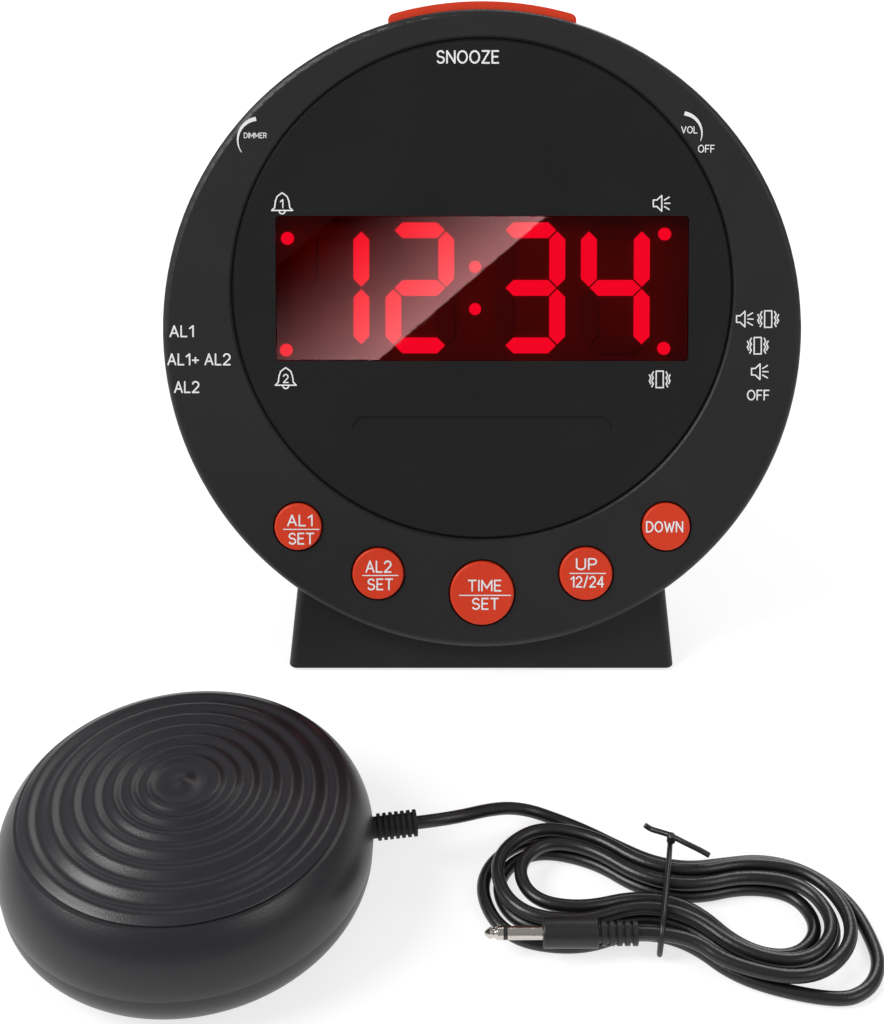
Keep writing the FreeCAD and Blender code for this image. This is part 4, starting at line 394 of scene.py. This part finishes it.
def add_bump(tree, shader, scale, distance):
    texture = noise(tree, scale, GRAIN_DETAIL)
    bump = tree.nodes.new("ShaderNodeBump")
    bump.inputs["Distance"].default_value = distance
    tree.links.new(texture.outputs["Fac"], bump.inputs["Height"])
    tree.links.new(bump.outputs["Normal"], shader.inputs["Normal"])


def add_variation(tree, shader, colour, spread, roughness):
    """Colour and roughness that drift a little over the surface."""
    texture = noise(tree, DRIFT_SCALE, DRIFT_DETAIL)
    ramp = tree.nodes.new("ShaderNodeValToRGB")
    ramp.color_ramp.elements[0].position = DRIFT_EDGES[0]
    ramp.color_ramp.elements[1].position = DRIFT_EDGES[1]
    ramp.color_ramp.elements[0].color = (*(c * (1 - spread) for c in colour), 1.0)
    ramp.color_ramp.elements[1].color = (*(c * (1 + spread) for c in colour), 1.0)
    tree.links.new(texture.outputs["Fac"], ramp.inputs["Fac"])
    tree.links.new(ramp.outputs["Color"], shader.inputs["Base Color"])
    spreader = tree.nodes.new("ShaderNodeMapRange")
    spreader.inputs["To Min"].default_value = roughness - ROUGH_SPREAD
    spreader.inputs["To Max"].default_value = roughness + ROUGH_SPREAD
    tree.links.new(texture.outputs["Fac"], spreader.inputs["Value"])
    tree.links.new(spreader.outputs["Result"], shader.inputs["Roughness"])


def surface(name, colour, roughness, grain=GRAIN, spread=SPREAD, metallic=0.0, specular=0.5):
    """Principled surface with a fine grain and a slow drift of colour."""
    material = bpy.data.materials.new(name)
    material.use_nodes = True
    tree = material.node_tree
    shader = tree.nodes["Principled BSDF"]
    shader.inputs["Metallic"].default_value = metallic
    shader.inputs["Specular IOR Level"].default_value = specular
    add_variation(tree, shader, colour, spread, roughness)
    if grain:
        add_bump(tree, shader, *grain)
    return material


def glowing(name, colour, strength, base):
    """Lit display surface: an even glow over a coloured base."""
    material = surface(name, base, LIT_ROUGHNESS, grain=None, specular=LIT_SPECULAR)
    shader = material.node_tree.nodes["Principled BSDF"]
    shader.inputs["Emission Color"].default_value = (*colour, 1.0)
    shader.inputs["Emission Strength"].default_value = strength
    return material


def tinted_window(name):
    """Dark red acrylic: mostly see-through, with a reddish gloss."""
    material = bpy.data.materials.new(name)
    material.use_nodes = True
    tree = material.node_tree
    tree.nodes.remove(tree.nodes["Principled BSDF"])
    output = tree.nodes["Material Output"]
    through = tree.nodes.new("ShaderNodeBsdfTransparent")
    through.inputs["Color"].default_value = (*WINDOW_TINT, 1.0)
    gloss = tree.nodes.new("ShaderNodeBsdfGlossy")
    gloss.inputs["Color"].default_value = (*WINDOW_GLOSS, 1.0)
    gloss.inputs["Roughness"].default_value = WINDOW_ROUGHNESS
    texture = noise(tree, WINDOW_WAVE_SCALE, 1.0)
    bump = tree.nodes.new("ShaderNodeBump")
    bump.inputs["Distance"].default_value = WINDOW_WAVE_DEPTH
    tree.links.new(texture.outputs["Fac"], bump.inputs["Height"])
    tree.links.new(bump.outputs["Normal"], gloss.inputs["Normal"])
    mix = tree.nodes.new("ShaderNodeMixShader")
    mix.inputs["Fac"].default_value = WINDOW_GLOSS_SHARE
    tree.links.new(through.outputs["BSDF"], mix.inputs[1])
    tree.links.new(gloss.outputs["BSDF"], mix.inputs[2])
    tree.links.new(mix.outputs["Shader"], output.inputs["Surface"])
    return material


def dress(material, *names):
    """Give one material to the CAD nodes with these names."""
    for name in names:
        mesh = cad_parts[name].data
        mesh.materials.clear()
        mesh.materials.append(material)


def level_middle():
    """Straight-up normals where the ripples close on the middle of the shaker."""
    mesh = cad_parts["shaker_top"].data
    normals = []
    for corner, normal in zip(mesh.loops, mesh.corner_normals):
        spot = mesh.vertices[corner.vertex_index].co
        level = (spot.xy - SHAKER_MIDDLE.xy).length < LEVEL_REACH and spot.z > SHAKER_MIDDLE.z
        normals.append((0.0, 0.0, 1.0) if level else tuple(normal.vector))
    mesh.normals_split_custom_set(normals)


def make_materials():
    for name, colour, roughness, options, nodes in FINISHES:
        dress(surface(name, colour, roughness, **options), *nodes)
    dress(tinted_window("window_acrylic"), "display_window")
    dress(glowing("segment_lit", LIT_COLOUR, LIT_STRENGTH, LIT_BASE), "segments_lit", "indicator_lights")
    for curve, (name, colour, roughness, options) in ((cord, CORD_FINISH), (tie, TIE_FINISH)):
        curve.data.materials.append(surface(name, colour, roughness, **options))


# Printed marks

def stroke(mesh, points, widths, depth=0.0, closed=False):
    """Flat line through points in millimetres on the face, with a width at each point."""
    ends = list(points[1:]) + ([points[0]] if closed else [])
    for i, (start, end) in enumerate(zip(points, ends)):
        along = (Vector(end) - Vector(start)).normalized()
        side = Vector((-along.y, along.x))
        corners = []
        lift = PRINT_LIFT + PRINT_LAYER * (len(mesh.faces) % PRINT_LAYERS)
        for place, width, way in ((start, widths[i], -1), (end, widths[(i + 1) % len(widths)], 1)):
            spot = Vector(place) + along * way * width * JOINT_SHARE
            for across in (way, -way):
                x, up = spot + side * across * width / 2
                corners.append(mesh.verts.new(face_point(x, up, depth - lift)))
        mesh.faces.new(corners)


def line(mesh, points, width, depth=0.0, closed=False):
    stroke(mesh, points, [width] * len(points), depth, closed)


def arc_points(middle, radius, start, end, count=ARC_STEPS):
    points = []
    for step in range(count + 1):
        turn = math.radians(start + (end - start) * step / count)
        points.append((middle[0] + radius * math.cos(turn), middle[1] + radius * math.sin(turn)))
    return points


def placed(points, middle, size):
    return [(middle[0] + x * size, middle[1] + up * size) for x, up in points]


BELL_OUTLINE = (
    (-0.50, -0.34), (-0.36, -0.20), (-0.32, 0.10), (-0.24, 0.32), (-0.10, 0.43), (0.0, 0.50), (0.10, 0.43),
    (0.24, 0.32), (0.32, 0.10), (0.36, -0.20), (0.50, -0.34),
)
CLAPPER_MIDDLE = (0.0, -0.36)
CLAPPER_RADIUS = 0.14
CLAPPER_STEPS = 8
SPEAKER_BOX = ((-0.50, -0.20), (-0.28, -0.20), (0.02, -0.48), (0.02, 0.48), (-0.28, 0.20), (-0.50, 0.20))
SPEAKER_RAYS = (((0.18, 0.20), (0.48, 0.38)), ((0.20, 0.0), (0.52, 0.0)), ((0.18, -0.20), (0.48, -0.38)))
SHAKE_BOX = ((-0.19, -0.44), (0.19, -0.44), (0.19, 0.44), (-0.19, 0.44))
SHAKE_WAVE = ((0.34, 0.40), (0.42, 0.24), (0.34, 0.08), (0.42, -0.08), (0.34, -0.24), (0.42, -0.40))
SHAKE_WAVE_STEP = 0.13


def mirrored(points):
    return [(-x, up) for x, up in points]


def shifted(points, across):
    return [(x + across, up) for x, up in points]


def bell(mesh, middle, size):
    line(mesh, placed(BELL_OUTLINE, middle, size), ICON_LINE, closed=True)
    clapper = arc_points(CLAPPER_MIDDLE, CLAPPER_RADIUS, 180, 360, CLAPPER_STEPS)
    line(mesh, placed(clapper, middle, size), ICON_LINE)


def speaker_icon(mesh, middle, size):
    line(mesh, placed(SPEAKER_BOX, middle, size), ICON_LINE, closed=True)
    for ray in SPEAKER_RAYS:
        line(mesh, placed(ray, middle, size), ICON_LINE)


def shake_icon(mesh, middle, size):
    line(mesh, placed(SHAKE_BOX, middle, size), ICON_LINE, closed=True)
    for wave in (SHAKE_WAVE, mirrored(SHAKE_WAVE)):
        line(mesh, placed(wave, middle, size), ICON_LINE)
        side = 1 if wave[0][0] > 0 else -1
        line(mesh, placed(shifted(wave[1:-1], side * SHAKE_WAVE_STEP), middle, size), ICON_LINE)


def wedge(mesh, middle, radius, start, end, widest):
    """Arc that grows from a hair to its widest."""
    points = arc_points(middle, radius, start, end)
    last = len(points) - 1
    widths = [PRINT_HAIR + (widest - PRINT_HAIR) * i / last for i in range(len(points))]
    stroke(mesh, points, widths)


def letter_lines(shares):
    """Points of a stroke: as given, or round an arc from its middle, radii and angles."""
    if len(shares) == 6 and not isinstance(shares[0], tuple):
        x, up, wide, high, start, end = shares
        circle = arc_points((0.0, 0.0), 1.0, start, end, LETTER_ARC_STEPS)
        return [(x + wide * px, up + high * py) for px, py in circle]
    return shares


def word(mesh, text, across, up, height, width, depth=0.0):
    """Printed word, centred on a place of the face, of a given height and width."""
    total = sum(LETTER_SHARES[letter][0] for letter in text) + LETTER_GAP_SHARE * (len(text) - 1)
    start = 0.0
    for letter in text:
        wide, strokes = LETTER_SHARES[letter]
        for shares in strokes:
            points = [(across + ((start + x) / total - 0.5) * width, up + (y - 0.5) * height)
                      for x, y in letter_lines(shares)]
            line(mesh, points, height * LETTER_LINE_SHARE, depth)
        start += wide + LETTER_GAP_SHARE


def print_face():
    """Icons, wedge arcs and words, as one flat printed piece on the face."""
    mesh = bmesh.new()
    for middle in BELLS:
        bell(mesh, middle, BELL_SIZE)
    for middle in SPEAKER_ICONS:
        speaker_icon(mesh, middle, ICON_SIZE)
    for middle in SHAKE_ICONS:
        shake_icon(mesh, middle, SHAKE_SIZE)
    for middle, radius, start, end, widest in WEDGE_ARCS:
        wedge(mesh, middle, radius, start, end, widest)
    for text, across, up, height, width in FACE_WORDS:
        word(mesh, text, across, up, height, width)
    print_piece("face_print", mesh, "clock")


def print_key(body, lines):
    mesh = bmesh.new()
    for text, across, up, height, width in lines:
        word(mesh, text, across, up, height, width, -KEY_PROUD)
    if body in KEY_DIVIDERS:
        across, up, width = KEY_DIVIDERS[body]
        line(mesh, ((across - width / 2, up), (across + width / 2, up)), DIVIDER_LINE, -KEY_PROUD)
    print_piece(body + "_print", mesh, body)


def print_piece(name, mesh, body):
    data = bpy.data.meshes.new(name)
    mesh.to_mesh(data)
    mesh.free()
    piece = bpy.data.objects.new(name, data)
    bpy.context.scene.collection.objects.link(piece)
    data.materials.append(ink)
    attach(piece, body)


def make_print():
    print_face()
    for body, lines in KEY_WORDS.items():
        print_key(body, lines)


# Room and lights

def make_floor():
    data = bpy.data.meshes.new("floor")
    half = FLOOR_SIZE / 2
    corners = [(-half, -half, 0), (half, -half, 0), (half, half, 0), (-half, half, 0)]
    data.from_pydata(corners, [], [tuple(range(len(corners)))])
    floor = bpy.data.objects.new("floor", data)
    bpy.context.scene.collection.objects.link(floor)
    material = surface("floor_white", (FLOOR_WHITE,) * 3, FLOOR_ROUGHNESS, **FLOOR_FINISH)
    shader = material.node_tree.nodes["Principled BSDF"]
    shader.inputs["Emission Color"].default_value = (1.0, 1.0, 1.0, 1.0)
    shader.inputs["Emission Strength"].default_value = FLOOR_GLOW
    data.materials.append(material)


def area_light(name, place, size, power):
    data = bpy.data.lights.new(name, "AREA")
    data.shape = "DISK"
    data.size = size
    data.energy = power
    light = bpy.data.objects.new(name, data)
    bpy.context.scene.collection.objects.link(light)
    light.location = place
    light.rotation_euler = (Vector(LIGHT_TARGET) - Vector(place)).to_track_quat("-Z", "Y").to_euler()


def pixel_ray(x, y):
    """Direction from the camera through a pixel of the photograph's frame."""
    right = (x - FRAME_WIDTH / 2) / FOCAL_PIXELS
    up = (FRAME_HEIGHT / 2 - y) / FOCAL_PIXELS + CAMERA_SHIFT * FRAME_HEIGHT / FOCAL_PIXELS
    turn = Matrix.Rotation(math.pi / 2 - CAMERA_PITCH, 3, "X")
    return (turn @ Vector((right, up, -1.0))).normalized()


def sheen_card():
    """Bright card behind the camera, whose mirror image is the sheen across the window."""
    outward = (face_point(0, 0, -1) - face_point(0, 0, 0)).normalized()
    corners = []
    for x, y in SHEEN_PIXELS:
        ray = pixel_ray(x, y)
        spot = CAMERA_PLACE + ray * ((FACE_MIDDLE - CAMERA_PLACE).dot(outward) / ray.dot(outward))
        bounce = ray - 2 * ray.dot(outward) * outward
        corners.append(spot + bounce * SHEEN_DISTANCE)
    data = bpy.data.meshes.new("sheen_card")
    data.from_pydata(corners, [], [tuple(range(len(corners)))])
    layer = data.uv_layers.new(name="across")
    for corner, share in zip(layer.data, SHEEN_SHARES):
        corner.uv = (share, 0.0)
    card = bpy.data.objects.new("sheen_card", data)
    bpy.context.scene.collection.objects.link(card)
    data.materials.append(sheen_glow())
    card.visible_diffuse = False
    card.visible_shadow = False
    receivers = bpy.data.collections.new("sheen_receivers")
    receivers.objects.link(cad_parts["display_window"])
    card.light_linking.receiver_collection = receivers


def sheen_glow():
    """Emission that fades from the slanted edge of the card to its far side."""
    material = bpy.data.materials.new("sheen_glow")
    material.use_nodes = True
    tree = material.node_tree
    tree.nodes.remove(tree.nodes["Principled BSDF"])
    coords = tree.nodes.new("ShaderNodeTexCoord")
    split = tree.nodes.new("ShaderNodeSeparateXYZ")
    fade = tree.nodes.new("ShaderNodeMath")
    fade.operation = "POWER"
    fade.inputs[1].default_value = SHEEN_FADE_POWER
    gain = tree.nodes.new("ShaderNodeMath")
    gain.operation = "MULTIPLY"
    gain.inputs[1].default_value = SHEEN_STRENGTH
    glow = tree.nodes.new("ShaderNodeEmission")
    glow.inputs["Color"].default_value = (*SHEEN_COLOUR, 1.0)
    tree.links.new(coords.outputs["UV"], split.inputs["Vector"])
    tree.links.new(split.outputs["X"], fade.inputs[0])
    tree.links.new(fade.outputs["Value"], gain.inputs[0])
    tree.links.new(gain.outputs["Value"], glow.inputs["Strength"])
    tree.links.new(glow.outputs["Emission"], tree.nodes["Material Output"].inputs["Surface"])
    return material


def make_room():
    scene = bpy.context.scene
    scene.view_settings.view_transform = "Standard"
    world = bpy.data.worlds.new("world")
    scene.world = world
    world.use_nodes = True
    world.node_tree.nodes["Background"].inputs["Color"].default_value = (1.0, 1.0, 1.0, 1.0)
    world.node_tree.nodes["Background"].inputs["Strength"].default_value = WORLD_STRENGTH
    make_floor()
    for name, place, size, power in LIGHTS:
        area_light(name, place, size, power)
    sheen_card()


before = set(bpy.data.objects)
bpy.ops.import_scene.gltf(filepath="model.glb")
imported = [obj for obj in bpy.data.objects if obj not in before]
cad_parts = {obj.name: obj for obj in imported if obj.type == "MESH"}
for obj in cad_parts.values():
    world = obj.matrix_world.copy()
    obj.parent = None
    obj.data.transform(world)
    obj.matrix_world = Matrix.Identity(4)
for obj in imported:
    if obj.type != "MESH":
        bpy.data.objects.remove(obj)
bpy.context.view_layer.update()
ink = surface("print_white", INK_COLOUR, INK_ROUGHNESS, grain=None)
make_camera()
tie = make_tie()
cord = make_cord()
make_materials()
level_middle()
make_print()
make_room()
